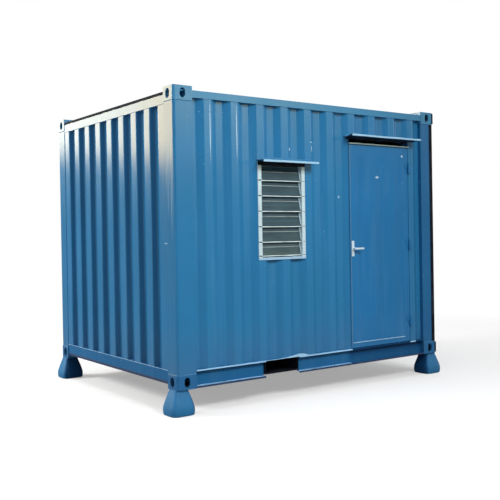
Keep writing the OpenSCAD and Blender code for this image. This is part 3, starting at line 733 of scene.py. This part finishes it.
class CABIN_OT_frame(bpy.types.Operator):
    """Castings, posts and rails with rounded edges, weld beads and a torn flap over the fork pocket"""

    bl_idname = "cabin.frame"
    bl_label = "Dress Frame"

    def weld(self, bm, corner, gear):
        """Adds the beads that join a post to its castings."""
        outer, inner, inward = corner_of("post_" + corner)
        short, step = 0.006, 0.0025
        path = denser(round_corner(outer, inward, gear.edge_round, inner - inward * short), step)

        def swelling(s):
            return gear.bead * (0.86 + 0.14 * math.cos(s * 950 + 2 * math.sin(s * 31)))

        for z in (outer.z, inner.z):
            add_tube(bm, [Vector((*p, z)) for p in path], swelling)

    def cores(self):
        """Builds the thick corner inside each casting and the foot plate over each bottom slot."""
        bm, skin, plate_top = bmesh.new(), 0.012, 0.030
        core, reach = Vector((0.020, 0.020, skin)), Vector((0.0625, 0.0565, 0))
        plate = Vector((0.021, 0.021, 0.0222))
        for corner in CORNERS:
            for level in ("casting_top_", "casting_bottom_"):
                outer, inner, inward = corner_of(level + corner)
                far = outer + inward * reach
                far.z = inner.z - skin
                add_block(bm, outer + inward * core, far, 0.006)
                if level == "casting_bottom_":
                    far = inner - inward * skin
                    far.z = outer.z + plate_top
                    add_block(bm, outer + inward * plate, far, 0.002)
        # The cores' near-black paint is painted shade inside the castings.
        shape_of("casting_cores", bm, "frame_paint", "frame_paint")

    def edge_strip(self, gear):
        """Builds a black strip round the outer edge of the right front post and its castings, as painted
        shade on that edge.
        """
        bm, thick, rows = bmesh.new(), 0.003, 30
        lengths = (
            ("post_front_right", gear.edge_round, 0.054, 0.004),
            ("casting_top_front_right", gear.cast_round, 0.020, 0.008),
            ("casting_bottom_front_right", gear.cast_round, 0.020, 0.008),
        )
        for node, radius, reach, short in lengths:
            outer, inner, inward = corner_of(node)
            line = offset_line(round_corner(outer, inward, radius, outer + inward * reach), -thick)
            low, high = outer.z + short, inner.z - short
            add_sheet(bm, line, thick + 0.0005, low, high, rows, lambda u, d, h: Vector((u, d, h)))
        shape_of("post_edge_guard", bm, "seal_rubber", "frame_paint")

    def lip_worn(self, side):
        """Test for the pale faces of a bottom rail's lips and lower shelf, worn paint and a painted
        highlight; on the front rail from the door on, only a short stretch just past the door is pale.
        """
        low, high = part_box("bottom_rail_" + side)
        out = {"front": (0, -1, 0), "rear": (0, 1, 0), "left": (-1, 0, 0), "right": (1, 0, 0)}[side]
        out = Vector(out)
        reach = max(low.dot(out), high.dot(out))
        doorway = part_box("door_leaf")

        def worn(centre, normal):
            outside = reach - centre.dot(out)
            lip, faces_out, faces_up = centre.z > high.z - LIP_TALL, normal.dot(out) > 0.7, normal.z > 0.7
            shoulder = lip and outside < 0.004 and faces_out
            if side == "front" and centre.x > doorway[0].x:
                return shoulder and 0 < centre.x - doorway[1].x < PAST_DOOR
            if lip:
                return shoulder
            shelf = side in ("front", "rear") and centre.z < low.z + 0.006
            return shelf and (faces_up or (faces_out and outside < 0.016))

        return worn

    def skirts(self):
        """Builds the dark strips that close the foot of the bottom rails, as painted shade under them."""
        bm, thick, tuck, edge = bmesh.new(), 0.006, 0.004, 0.0015
        near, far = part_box("casting_bottom_front_left")[1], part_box("casting_bottom_rear_right")[0]
        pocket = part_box("fork_pocket")
        spans = ((near.x - tuck, pocket[0].x), (pocket[1].x, far.x + tuck))
        for side in ("front", "rear"):
            low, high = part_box("bottom_rail_" + side)
            y = low.y + 0.004 if side == "front" else high.y - 0.010
            for x0, x1 in spans:
                add_block(bm, (x0, y, low.z - 0.0115), (x1, y + thick, low.z + 0.0042), edge)
        for side in ("left", "right"):
            low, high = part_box("bottom_rail_" + side)
            x = low.x + 0.003 if side == "left" else high.x - 0.009
            add_block(bm, (x, near.y - tuck, low.z - 0.018), (x + thick, far.y + tuck, low.z + 0.004), edge)
        shape_of("rail_skirts", bm, "skirt_paint", "cabin_paint")

    def flap(self):
        """Builds the strip of the front lip that is torn up over the fork pocket and leans on the wall."""
        bm, steps, rings = bmesh.new(), 32, []
        rail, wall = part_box("bottom_rail_front"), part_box("wall_under_window")[0].y
        start, front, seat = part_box("fork_pocket")[1].x - 0.200, rail[0].y, rail[1].z
        for i in range(steps + 1):
            t = i / steps
            x = start + 0.300 * t
            ragged = 1 + 0.25 * noise.noise(Vector((x * 40, 2, 0)))
            top = seat + 0.0012 + 0.020 * math.sin(math.pi * t ** 2.1) * ragged
            corners = ((front, seat), (wall - 0.0012, seat), (wall - 0.0004, top), (wall - 0.0026, top))
            rings.append([bm.verts.new((x, y, z)) for y, z in corners])
        add_skin(bm, rings)
        # Its pale paint is a painted highlight on the raised flap.
        shape_of("lip_flap", bm, "worn_edge", "cabin_paint")

    def execute(self, context):
        gear = context.scene.cabin_gear
        welds = bmesh.new()
        for corner in CORNERS:
            # Top castings in the paler paint as painted light; bottom castings and the right front post in
            # the darker copy as painted shade; other posts a little darker than the walls, also as painted
            # shade.
            dressed("casting_top_" + corner, "casting_paint", gear.cast_round)
            dressed("casting_bottom_" + corner, "base_paint", gear.cast_round)
            dressed("post_" + corner, "base_paint" if corner == "front_right" else "post_paint", 0.003)
            self.weld(welds, corner, gear)
        shape_of("weld_beads", welds, "cabin_paint", "cabin_paint")
        self.cores()
        self.edge_strip(gear)
        # The long top rails in the paler paint as painted light.
        for side in ("front", "rear"):
            dressed("top_rail_" + side, "casting_paint", 0.003)
        for side in ("left", "right"):
            dressed("top_rail_" + side, "cabin_paint", 0.005)
        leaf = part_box("door_leaf")
        cuts = [(spot, Vector((1, 0, 0))) for spot in (*leaf, leaf[1] + Vector((PAST_DOOR, 0, 0)))]
        # Bottom rails in the darker rail paint as painted shade, their lips pale as wear and as a painted
        # highlight.
        for side in ("left", "right", "front", "rear"):
            worn = self.lip_worn(side)
            dressed("bottom_rail_" + side, "rail_paint", 0.0014, cuts, worn=worn, pale="lip_edge")
        self.flap()
        self.skirts()
        return {"FINISHED"}


class CABIN_OT_walls(bpy.types.Operator):
    """Pressed wall sheets with round bends and a slight buckle"""

    bl_idname = "cabin.walls"
    bl_label = "Press Walls"

    def sheet(self, press, node, kind, outward):
        """Builds one sheet of a long wall, kind side, or of an end wall, kind end."""
        low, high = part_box(node)
        full_height = 2.2
        if kind == "side":
            along, through, centre, seed = 0, 1, press.side_pitch / 2, outward
            rows = max(4, round(press.rows * (high.z - low.z) / full_height))
        else:
            along, through, centre, seed = 1, 0, (low.y + high.y) / 2, 4 + outward
            rows = press.rows
        line = fold_line(low[along], high[along], centre, *fold_sizes(press, kind))
        line = rounded_line(line, getattr(press, kind + "_bend"))
        outer = (low if outward < 0 else high)[through]

        def place(u, d, h):
            point = Vector((u, u, h))
            point[through] = outer - outward * (d + wander(u, h, low.z, high.z, press.ripple, seed))
            return point

        bm = bmesh.new()
        add_sheet(bm, line, press.thick, low.z, high.z, rows, place)
        stand_for(node, "_pressed", bm)

    def execute(self, context):
        press = context.scene.cabin_sheets
        names = ("front_left", "under_window", "over_window", "front_middle", "over_door", "front_right")
        for name in names:
            self.sheet(press, "wall_" + name, "side", -1)
        self.sheet(press, "wall_rear", "side", 1)
        self.sheet(press, "wall_left", "end", -1)
        self.sheet(press, "wall_right", "end", 1)
        return {"FINISHED"}


class CABIN_OT_roof(bpy.types.Operator):
    """Ribbed roof with black bars and beads along its ends"""

    bl_idname = "cabin.roof"
    bl_label = "Lay Roof"

    def execute(self, context):
        press, gear = context.scene.cabin_sheets, context.scene.cabin_gear
        low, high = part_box("roof_sheet")
        near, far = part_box("casting_top_front_left")[1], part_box("casting_top_rear_right")[0]
        bm, seal, rows, wide = bmesh.new(), bmesh.new(), 14, 0.006
        spans = (
            (low.x + 0.004, near.x, near.y, far.y),
            (near.x, far.x, low.y, high.y),
            (far.x, high.x - 0.004, near.y, far.y),
        )
        for x0, x1, y0, y1 in spans:
            line = rounded_line(fold_line(x0, x1, 0.0, *fold_sizes(press, "roof")), press.roof_bend, 3)

            def place(u, d, h):
                return Vector((u, h, high.z - d - wander(u, h, y0, y1, press.ripple, 9) - press.ripple))

            add_sheet(bm, line, press.thick, y0, y1, rows, place)
        # Black bars and beads along the roof's ends.
        for x, out in ((low.x, -1), (high.x - wide, 1)):
            add_block(seal, (x, near.y, low.z), (x + wide, far.y, high.z), 0.0012)
            edge = x + wide / 2 + out * 0.007
            path = [Vector((edge, y, low.z + 0.004)) for y in (near.y + 0.002, far.y - 0.002)]
            path = denser(path, 0.02)
            for point in path:
                point.z += 0.0025 * noise.noise(Vector((point.y * 9, x, 0)))
            add_tube(seal, path, lambda s: gear.roof_seal * (1 + 0.2 * noise.noise(Vector((s * 14, 3, 0)))))
        stand_for("roof_sheet", "_pressed", bm)
        shape_of("roof_sealant", seal, "seal_rubber", "frame_paint")
        return {"FINISHED"}


class CABIN_OT_floor(bpy.types.Operator):
    """Floor planks with their screws, bearers and fork pocket"""

    bl_idname = "cabin.floor"
    bl_label = "Lay Floor"

    def execute(self, context):
        planks, gap, play = context.scene.cabin_gear.planks, 0.0004, 0.002
        screws, margin, inset = 9, 0.05, 0.03
        low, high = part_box("floor_boards")
        near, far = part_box("post_front_left")[1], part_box("post_rear_right")[0]
        x0, x1, y0, y1 = near.x + play, far.x - play, near.y + play, far.y - play
        width = (y1 - y0) / planks
        rows = [(x0, x1, low.y, y0), (x0, x1, y1, high.y)]
        rows += [(low.x, high.x, y0 + width * i, y0 + width * (i + 1)) for i in range(planks)]
        bm = bmesh.new()
        for x0, x1, y0, y1 in rows:
            add_block(bm, (x0, y0 + gap, low.z), (x1, y1 - gap, high.z), 0.0015)
            for k in range(screws):
                x = x0 + margin + (x1 - x0 - 2 * margin) * k / (screws - 1)
                for y in (y0 + inset, y1 - inset):
                    add_dome(bm, (x, y, high.z), (0, 0, 1), 0.005, 0.0006, 10, 1)
        shape_of("floor_planks", bm, ("floor_wood", "lock_steel"), "floor_wood", nodes=("floor_boards",))
        # Bearers and fork pocket in near-black paint, as painted shade under the floor.
        dressed("floor_bearers", "frame_paint", 0.0012, segments=2)
        dressed("fork_pocket", "frame_paint", 0.0015, segments=2)
        low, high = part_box("fork_pocket")
        plates, reach, thick, back, side = bmesh.new(), 0.490, 0.006, 0.010, 0.004
        for y in (low.y + back, high.y - back - reach):
            add_block(plates, (low.x + side, y, low.z), (high.x - side, y + reach, low.z + thick), 0.0012)
        shape_of("fork_pocket_plates", plates, "frame_paint", "frame_paint")
        return {"FINISHED"}


def fold_hood(node, gear, press):
    """Folded sheet hood with a wavy front lip and rivets where its flange meets a flat of the wall."""
    low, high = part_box(node)
    wall, out, thick, base = high.y, high.y - low.y, gear.hood_sheet, high.z - gear.hood_flange
    front = max(v.co.z for v in CAD_NODES[node].data.vertices if v.co.y < low.y + 0.001) - base
    points = [(-thick, gear.hood_flange), (-thick, 0.0), (-out, front), (-out, front - gear.hood_lip)]
    bend, sag, rows, margin = 0.003, 0.0018, 26, 0.02
    line = denser(rounded_line([Vector(p) for p in points], bend, 3), 0.02)

    def place(s, z, x):
        wave = sag * -s / out * noise.noise(Vector((x * 5, 0.7, low.z)))
        return Vector((x, wall + s, base + z + wave))

    # Faces under the hood take the dark skirt paint as painted shade, the front lip the pale paint as a
    # painted highlight.
    def pick(a, b, under):
        if under:
            return 1
        return 2 if max(a.x, b.x) < bend - out else 0

    bm = bmesh.new()
    add_sheet(bm, line, thick, low.x, high.x, rows, place, pick)
    for k in range(-6, 6):
        x = press.side_pitch * (k + 0.5)
        if low.x + margin < x < high.x - margin:
            add_dome(bm, (x, wall - thick, high.z - 0.011), (0, -1, 0), 0.006, 0.003)
    stand_for(node, "_folded", bm, NODE_SLOT[node], "skirt_paint", "worn_edge")


class CABIN_OT_window(bpy.types.Operator):
    """Window frame with clips, glass blades and hood"""

    bl_idname = "cabin.window"
    bl_label = "Fit Window"

    def blade(self, bm, x0, x1, middle, tall, thick, turn):
        """Adds one glass blade with ground edges, material 1, and a pale line across one face near its top,
        material 2.
        """
        half, r = thick / 2, thick * 0.35
        outline = []
        for sa, sb, start in ((1, 1, 0), (-1, 1, 90), (-1, -1, 180), (1, -1, 270)):
            for i in range(4):
                a = math.radians(start + 30 * i)
                outline.append((sa * (half - r) + r * math.cos(a), sb * (tall / 2 - r) + r * math.sin(a)))
        ground, clean, line = 0.0075, 0.048, 0.005
        low_band, line_top = -tall / 2 + ground, tall / 2 - clean
        line_bottom = line_top - line
        outline[8:8] = [(-half, line_top), (-half, line_bottom), (-half, low_band)]
        outline.append((half, low_band))

        def pick(i):
            level = (outline[i][1] + outline[(i + 1) % len(outline)][1]) / 2
            if level < low_band or level > tall / 2 - 0.003:
                return 1
            return 2 if line_bottom < level < line_top else 0

        rings = []
        for x in (x0, x1):
            end = middle + Vector((x, 0, 0))
            rings.append([bm.verts.new(end + turn @ Vector((0, a, b))) for a, b in outline])
        add_skin(bm, rings, 1, pick)

    def trim(self, low, high):
        """Builds the ribs and the rivets on the face of the frame."""
        bm, edge = bmesh.new(), 0.0006
        y0, y1 = low.y - 0.0012, low.y + 0.002
        for x in (low.x + 0.006, low.x + 0.034, high.x - 0.034, high.x - 0.006):
            add_block(bm, (x - 0.0015, y0, low.z + 0.024), (x + 0.0015, y1, high.z - 0.032), edge)
        for z in (low.z + 0.016, high.z - 0.008):
            add_block(bm, (low.x + 0.003, y0, z), (high.x - 0.003, y1, z + 0.003), edge)
        for x in (low.x + 0.020, high.x - 0.020):
            for z in (low.z + 0.07, (low.z + high.z) / 2, high.z - 0.09):
                add_dome(bm, (x, low.y, z), (0, -1, 0), 0.0045, 0.0018)
        shape_of("window_frame_ribs", bm, "window_alloy", "window_alloy")

    def execute(self, context):
        gear, press = context.scene.cabin_gear, context.scene.cabin_sheets
        low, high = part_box("window_frame")
        left, right, last = low.x + gear.channel, high.x - gear.channel, gear.blades - 1
        step = (high.z - low.z - gear.window_sill - gear.window_head) / gear.blades
        glass, clips, head_shade = bmesh.new(), bmesh.new(), bmesh.new()
        turn = Matrix.Rotation(-gear.blade_tilt, 3, "X")
        for i in range(gear.blades):
            tall = step + gear.blade_lap * (0 if i in (0, last) else 1)
            lift = gear.blade_lap / 2 * (1 if i == 0 else -1 if i == last else 0)
            middle = Vector((0, low.y + 0.030, low.z + gear.window_sill + (i + 0.5) * step))
            centre = middle + turn @ Vector((0, 0, lift))
            self.blade(glass, left + 0.0015, right - 0.0015, centre, tall, gear.blade_thick, turn)
            for x, way in ((left, 1), (right, -1)):
                grip, half = centre + Vector((x + way * 0.004, 0, 0)), Vector((0.004, 0.0085, 0.052))
                add_block(clips, grip - half, grip + half, 0.002, turn.to_4x4())
                foot = centre + turn @ Vector((0, 0, -tall / 2)) + Vector((x - way * 0.020, 0, 0.006))
                foot.y = low.y + 0.0002
                half = Vector((0.0195, 0.0012, 0.0045 if way > 0 else 0.002))
                add_block(clips, foot - half, foot + half, 0.0006, material=1)
        # A black strip across the window's head, as painted shade under the hood.
        top = Vector((low.x + 0.001, low.y - 0.0022, high.z - gear.window_head - 0.004))
        add_block(head_shade, top, (high.x - 0.001, low.y + 0.004, high.z - 0.001), 0.001)
        shape_of("window_head_gasket", head_shade, "seal_rubber", "frame_paint")
        sill = Vector((0, 0, low.z + gear.window_sill))
        cuts = [(sill, Vector((0, 0, 1)))]
        dressed("window_frame", "window_alloy", 0.003, cuts, worn=lambda centre, normal: centre.z < sill.z)
        self.trim(low, high)
        shape_of("blade_clips", clips, ("window_alloy", "seal_rubber"), "window_alloy")
        finishes = ("window_glass", "glass_edge", "dust_line")
        shape_of("glass_blades", glass, finishes, "window_glass", nodes=("window_blades",))
        fold_hood("window_hood", gear, press)
        return {"FINISHED"}


class CABIN_OT_door(bpy.types.Operator):
    """Door frame, leaf with a pressed middle, hinges, lock, seal and hood"""

    bl_idname = "cabin.door"
    bl_label = "Hang Door"

    def border(self, bm, low, high, wide):
        """Adds the closed border of the leaf, its edges and sides pale as a painted highlight."""
        loops = []
        for y in (low.y, high.y):
            for inset in (0.0, wide):
                x0, x1, z0, z1 = low.x + inset, high.x - inset, low.z + inset, high.z - inset
                outline = ((x0, z0), (x1, z0), (x1, z1), (x0, z1))
                loops.append([bm.verts.new((x, y, z)) for x, z in outline])
        outer, inner, outer_back, inner_back = loops
        sides = ((outer, inner), (inner_back, outer_back), (outer_back, outer), (inner, inner_back))
        for i in range(4):
            j = (i + 1) % 4
            for a, b in sides:
                bm.faces.new((a[i], a[j], b[j], b[i]))
        round_edges(bm, bm.edges, 0.0025, material=1)
        for face in bm.faces:
            if abs(face.normal.x) > 0.5:
                face.material_index = 1

    def leaf(self, gear, press):
        """Builds the leaf: its border, drip strip and cover strip, and a sheet whose folds run out."""
        low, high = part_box("door_leaf")
        bm = bmesh.new()
        self.border(bm, low, high, gear.leaf_border)
        # The drip strip and the thin line on the cover strip are pale as painted highlights.
        drip = (low.x + 0.014, low.y - 0.005, low.z + 0.044)
        add_block(bm, drip, (high.x - 0.070, low.y + 0.004, low.z + 0.052), 0.002, material=1)
        face, foot, top = low.y - 0.0044, low.z + 0.020, high.z - 0.004
        add_block(bm, (low.x - 0.006, face, foot), (low.x + 0.009, low.y - 0.0012, top), 0.0008)
        line = (low.x + 0.002, face - 0.0008, foot)
        add_block(bm, line, (low.x + 0.0075, face + 0.0006, top), 0.0003, material=2)
        inset = gear.leaf_border - 0.003
        x0, x1, z0, z1 = low.x + inset, high.x - inset, low.z + inset, high.z - inset
        line = fold_line(x0, x1, press.side_pitch / 2, *fold_sizes(press, "side"))
        line = denser(rounded_line(line, press.side_bend), 0.008)
        across, upward, depth, lift, rows = 0.06, 0.35, 0.34, 0.0006, 60

        def eased(at, start, end, reach):
            t = max(0.0, min(1.0, (at - start) / reach, (end - at) / reach))
            return t * t * (3 - 2 * t)

        def place(u, d, h):
            ease = eased(u, x0, x1, across) * eased(h, z0, z1, upward)
            d = lift + d * ease * depth + abs(wander(u, h, z0, z1, press.ripple, 6)) * 0.5
            return Vector((u, low.y + d, h))

        add_sheet(bm, line, press.thick, z0, z1, rows, place)
        stand_for("door_leaf", "_pressed", bm, "door_paint", "worn_edge", "soft_edge")

    def seal(self):
        """Builds the rubber strip behind the leaf's border."""
        low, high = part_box("door_leaf")
        bm, edge = bmesh.new(), 0.002
        y0, y1, z0, a, b = high.y - 0.001, high.y + 0.0045, low.z + 0.03, 0.004, 0.014
        add_block(bm, (low.x + a, y0, z0), (low.x + b, y1, high.z - a), edge)
        add_block(bm, (high.x - b, y0, z0), (high.x - a, y1, high.z - a), edge)
        add_block(bm, (low.x + b, y0, high.z - b), (high.x - b, y1, high.z - a), edge)
        shape_of("door_seal", bm, "seal_rubber", "frame_paint", "door")

    def lock(self):
        """Builds the screws and the key cylinders of the lock plates."""
        low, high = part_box("lock_plates")
        x, z = (low.x + high.x) / 2, (low.z + high.z) / 2
        bm = bmesh.new()
        for y, way in ((low.y, -1), (high.y, 1)):
            face = Vector((0, way, 0))
            for screw in (low.z + 0.012, high.z - 0.012):
                add_dome(bm, (x, y, screw), face, 0.004, 0.0016)
            add_dome(bm, (x, y, z - 0.043), face, 0.0085, 0.004, 20)
            slit = Vector((x - 0.001, y + way * 0.0036 - 0.0006, z - 0.049))
            add_block(bm, slit, slit + Vector((0.002, 0.0012, 0.010)), 0.0003, material=1)
        shape_of("lock_cylinders", bm, ("lock_steel", "seal_rubber"), "lock_steel", "door")

    def execute(self, context):
        gear, press = context.scene.cabin_gear, context.scene.cabin_sheets
        for node in ("door_jamb_lock", "door_jamb_hinge"):
            dressed(node, NODE_SLOT[node], 0.0015)
        dressed("door_head", "door_trim", 0.002)
        fold_hood("door_hood", gear, press)
        self.leaf(gear, press)
        low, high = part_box("door_hood")
        base, wall, end = high.z - gear.hood_flange, high.y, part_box("door_leaf")[1].x
        # A black strip on the wall under the door hood, as painted shadow of the hood.
        strip, start = bmesh.new(), (low.x + 0.012, wall - 0.005, base - 0.016)
        add_block(strip, start, (end, wall + 0.003, base + 0.002), 0.0015)
        shape_of("hood_seal", strip, "seal_rubber", "frame_paint")
        self.seal()
        self.lock()
        edges = {"hinge_bases": 0.0012, "hinge_knuckles": 0.0012, "lock_plates": 0.0014, "lever": 0.003}
        for node, edge in edges.items():
            dressed(node, NODE_SLOT[node], edge)
        return {"FINISHED"}


class CABIN_OT_feet(bpy.types.Operator):
    """Round-shouldered feet under the castings"""

    bl_idname = "cabin.feet"
    bl_label = "Set Feet"

    def execute(self, context):
        dents = 0.012
        for k, corner in enumerate(CORNERS):
            node = "foot_" + corner
            low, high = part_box(node)
            middle, half, tall = (low + high) / 2, (high.x - low.x) / 2, high.z - low.z
            bm, rings = bmesh.new(), []
            for level, wide, square in FOOT:

                def place(c, s):
                    reach = (abs(c) ** square + abs(s) ** square) ** (-1 / square)
                    dent = noise.noise(Vector((c * 2.1 + k * 7, s * 2.1, level * 3)))
                    r = half * wide * reach * (1 - dents * abs(dent))
                    return middle.x + c * r, middle.y + s * r, low.z + tall * level

                rings.append(ring_of(bm, FOOT_SIDES, place))
            add_skin(bm, rings)
            stand_for(node, "_cast", bm)
        return {"FINISHED"}


class CABIN_OT_stage(bpy.types.Operator):
    """White studio with a fading floor, soft lamps, cards that the paint mirrors and the camera"""

    bl_idname = "cabin.stage"
    bl_label = "Build Studio"

    def seen(self, finish, rays):
        """One where the camera, gloss or glass looks, and otherwise zero."""
        kinds = [rays[f"Is {kind} Ray"] for kind in ("Camera", "Glossy", "Transmission")]
        return finish.worked("MAXIMUM", *kinds)

    def sky(self, settings):
        """Light from all round, white where the camera, gloss or glass sees it."""
        sky = Finish("studio", bpy.data.worlds.new("studio"))
        seen = self.seen(sky, sky.add("ShaderNodeLightPath").outputs)
        strength = sky.ranged(seen, 0.0, 1.0, settings.ambient, 1.0)
        bpy.context.scene.world = sky.done({"Color": (1, 1, 1, 1), "Strength": strength})

    def ground(self, settings):
        """Pale floor that fades into the background and throws back less light than it shows."""
        finish, near, far, radius = Finish("studio_floor"), 2.6, 6.5, 7.0
        faded = finish.ranged(finish.vector("LENGTH", finish.place())["Value"], near, far)
        clear = finish.add("ShaderNodeBsdfTransparent").outputs[0]
        sockets = {"Fac": faded, 1: finish.shader.outputs[0], 2: clear}
        finish.show(finish.add("ShaderNodeMixShader", sockets).outputs[0])
        rays = finish.add("ShaderNodeLightPath").outputs
        tone = finish.mixed(rays["Is Diffuse Ray"], settings.floor[:], settings.bounce[:])
        glow = finish.worked("MULTIPLY", self.seen(finish, rays), settings.floor_glow)
        finish.done({"Base Color": tone, "Emission Strength": glow, "Roughness": 0.9})
        spot = (0, 0, -0.0005)
        bpy.ops.mesh.primitive_circle_add(vertices=96, radius=radius, fill_type="NGON", location=spot)
        floor = bpy.context.object
        floor.name = "studio_floor"
        floor.data.materials.append(finish.block)

    def lamp(self, name, watts, place, aim, wide, tall, spread=math.pi):
        """Soft lamp with four corners."""
        light = bpy.data.lights.new(name, "AREA")
        light.shape = "RECTANGLE"
        light.size, light.size_y = wide, tall
        light.energy = watts
        light.spread = spread
        lamp = linked(name, light)
        lamp.location = place
        lamp.rotation_euler = (Vector(aim) - Vector(place)).to_track_quat("-Z", "Y").to_euler()

    def card(self, name, corners, colour, base, rises=(), fade=None, far_colour=None):
        """Board that only gloss sees: rises add glow over height spans, and fade runs out along the board."""
        bm = bmesh.new()
        bm.faces.new([bm.verts.new(c) for c in corners])
        finish = Finish(name)
        glow = {"Color": (*colour, 1), "Strength": base}
        if rises:
            axes = finish.axes(finish.place())
            parts = [finish.ranged(axes["Z"], low, high, 0.0, rise) for low, high, rise in rises]
            total = finish.worked("ADD", *parts)
            if far_colour:
                glow["Color"] = finish.mixed(finish.ranged(axes["X"], *fade), colour, far_colour)
            elif fade:
                least = 0.12
                kept = finish.ranged(finish.ranged(axes["X"], *fade), 0.0, 1.0, 1.0, least)
                total = finish.worked("MULTIPLY", total, kept)
            glow["Strength"] = finish.worked("ADD", total, base)
        finish.nodes.remove(finish.shader)
        finish.show(finish.add("ShaderNodeEmission", glow).outputs[0])
        board = linked(name, mesh_of(name, bm))
        board.data.materials.append(finish.block)
        for ray in ("camera", "diffuse", "transmission", "volume_scatter", "shadow"):
            setattr(board, "visible_" + ray, False)

    def upright(self, start, end, high):
        """Corners of an upright board that starts below the floor."""
        low = -0.4
        return [(*start, low), (*end, low), (*end, high), (*start, high)]

    def cards(self, settings):
        """Boards that the paint mirrors."""
        cream, pale, sky_blue = (1.0, 0.71, 0.25), (0.81, 0.71, 0.48), (0.8, 0.9, 1.0)
        near_left, near, front_end = (-13.0, -8.0), (-4.0, -13.0), (2.0, -10.53)
        rises = ((1.8, 2.9, 0.5), (2.85, 3.35, settings.end_card - 0.78))
        board = self.upright((-13.0, 8.5), (-0.9, 8.5), 9.0)
        self.card("end_card", board, cream, 0.28, rises, (-6.6, -5.5), pale)
        rises = ((2.2, 3.6, settings.front_card), (3.75, 4.0, settings.front_card))
        board = self.upright(front_end, (13.0, -6.0), 4.7)
        self.card("front_card", board, (1.0, 0.92, 0.36), 0.30, rises, (4.6, 7.2))
        board = self.upright((10.0, -5.2), (10.0, -2.2), 6.0)
        self.card("side_card", board, (1.0, 1.0, 0.95), 0.25, ((2.9, 3.3, settings.side_card),))
        self.card("back_flag", self.upright((-0.8, 9.0), (13.0, 9.0), 6.0), (1.0, 1.0, 1.0), 0.06)
        self.card("eye_flag", self.upright(near_left, near, 7.0), sky_blue, 0.20)
        self.card("near_flag", self.upright(near, front_end, 7.0), sky_blue, 0.20)
        floor = [(x, y, 0.002) for x, y in ((-12.0, -12.0), (12.0, -12.0), (12.0, 8.4), (-12.0, 8.4))]
        self.card("floor_flag", floor, (0.9, 0.97, 1.0), 0.28)

    def camera(self, settings):
        """Camera at the photograph's viewing angle."""
        view = bpy.data.cameras.new("photo_view")
        view.sensor_width = 36.0
        view.lens = view.sensor_width * settings.focal
        view.shift_x, view.shift_y = settings.shift
        view.clip_end = 200.0
        eye = linked("photo_view", view)
        yaw, pitch, roll = settings.yaw, settings.pitch, settings.roll
        ahead = Vector((math.sin(yaw) * math.cos(pitch), math.cos(yaw) * math.cos(pitch), math.sin(pitch)))
        right = Vector((math.cos(yaw), -math.sin(yaw), 0.0))
        above = right.cross(ahead)
        across = right * math.cos(roll) + above * math.sin(roll)
        upward = above * math.cos(roll) - right * math.sin(roll)
        turn = Matrix((across, upward, -ahead)).transposed().to_4x4()
        eye.matrix_world = Matrix.Translation(settings.eye) @ turn
        bpy.context.scene.camera = eye

    def execute(self, context):
        settings = context.scene.cabin_stage
        context.scene.view_settings.view_transform = "Standard"
        self.sky(settings)
        self.ground(settings)
        self.lamp("top_lamp", settings.top, (0.0, -0.6, 8.0), (0, 0, 1), 5.0, 5.0)
        narrow = math.radians(58)
        self.lamp("key_lamp", settings.key, (-0.4, -8.2, 6.4), (-0.9, -1.2, 1.4), 3.2, 2.5, narrow)
        self.lamp("end_lamp", settings.end, (-8.0, 5.0, 5.5), (-1.5, 0, 1.3), 3.5, 2.5)
        self.cards(settings)
        self.camera(settings)
        return {"FINISHED"}


class CABIN_PT_panel(bpy.types.Panel):
    """Lists the steps that dress the cabin"""

    bl_idname = "CABIN_PT_panel"
    bl_label = "Site Cabin"
    bl_space_type = "VIEW_3D"
    bl_region_type = "UI"
    bl_category = "Cabin"

    def draw(self, context):
        for step in STEPS:
            self.layout.operator(step.bl_idname)
        for name in ("side_pitch", "end_pitch", "ripple"):
            self.layout.prop(context.scene.cabin_sheets, name)
        for name in ("leaf_border", "blades", "bead"):
            self.layout.prop(context.scene.cabin_gear, name)
        for name in ("paint", "door", "foot"):
            self.layout.prop(context.scene.cabin_colours, name)


STEPS = (
    CABIN_OT_frame,
    CABIN_OT_walls,
    CABIN_OT_roof,
    CABIN_OT_floor,
    CABIN_OT_window,
    CABIN_OT_door,
    CABIN_OT_feet,
    CABIN_OT_stage,
)
GROUPS = {
    "cabin_sheets": CabinSheets,
    "cabin_gear": CabinGear,
    "cabin_colours": CabinColours,
    "cabin_stage": CabinStage,
}
CLASSES = (*GROUPS.values(), *STEPS, CABIN_PT_panel)


def register():
    """Registers the classes and puts the settings on the scene."""
    for item in CLASSES:
        bpy.utils.register_class(item)
    for name, group in GROUPS.items():
        setattr(bpy.types.Scene, name, PointerProperty(type=group))


def unregister():
    """Takes the settings and the classes away."""
    for name in GROUPS:
        delattr(bpy.types.Scene, name)
    for item in reversed(CLASSES):
        bpy.utils.unregister_class(item)


def main():
    """Dresses the cabin."""
    register()
    bpy.ops.cabin.frame()
    bpy.ops.cabin.walls()
    bpy.ops.cabin.roof()
    bpy.ops.cabin.floor()
    bpy.ops.cabin.window()
    bpy.ops.cabin.door()
    bpy.ops.cabin.feet()
    bpy.ops.cabin.stage()


if __name__ == "__main__":
    main()
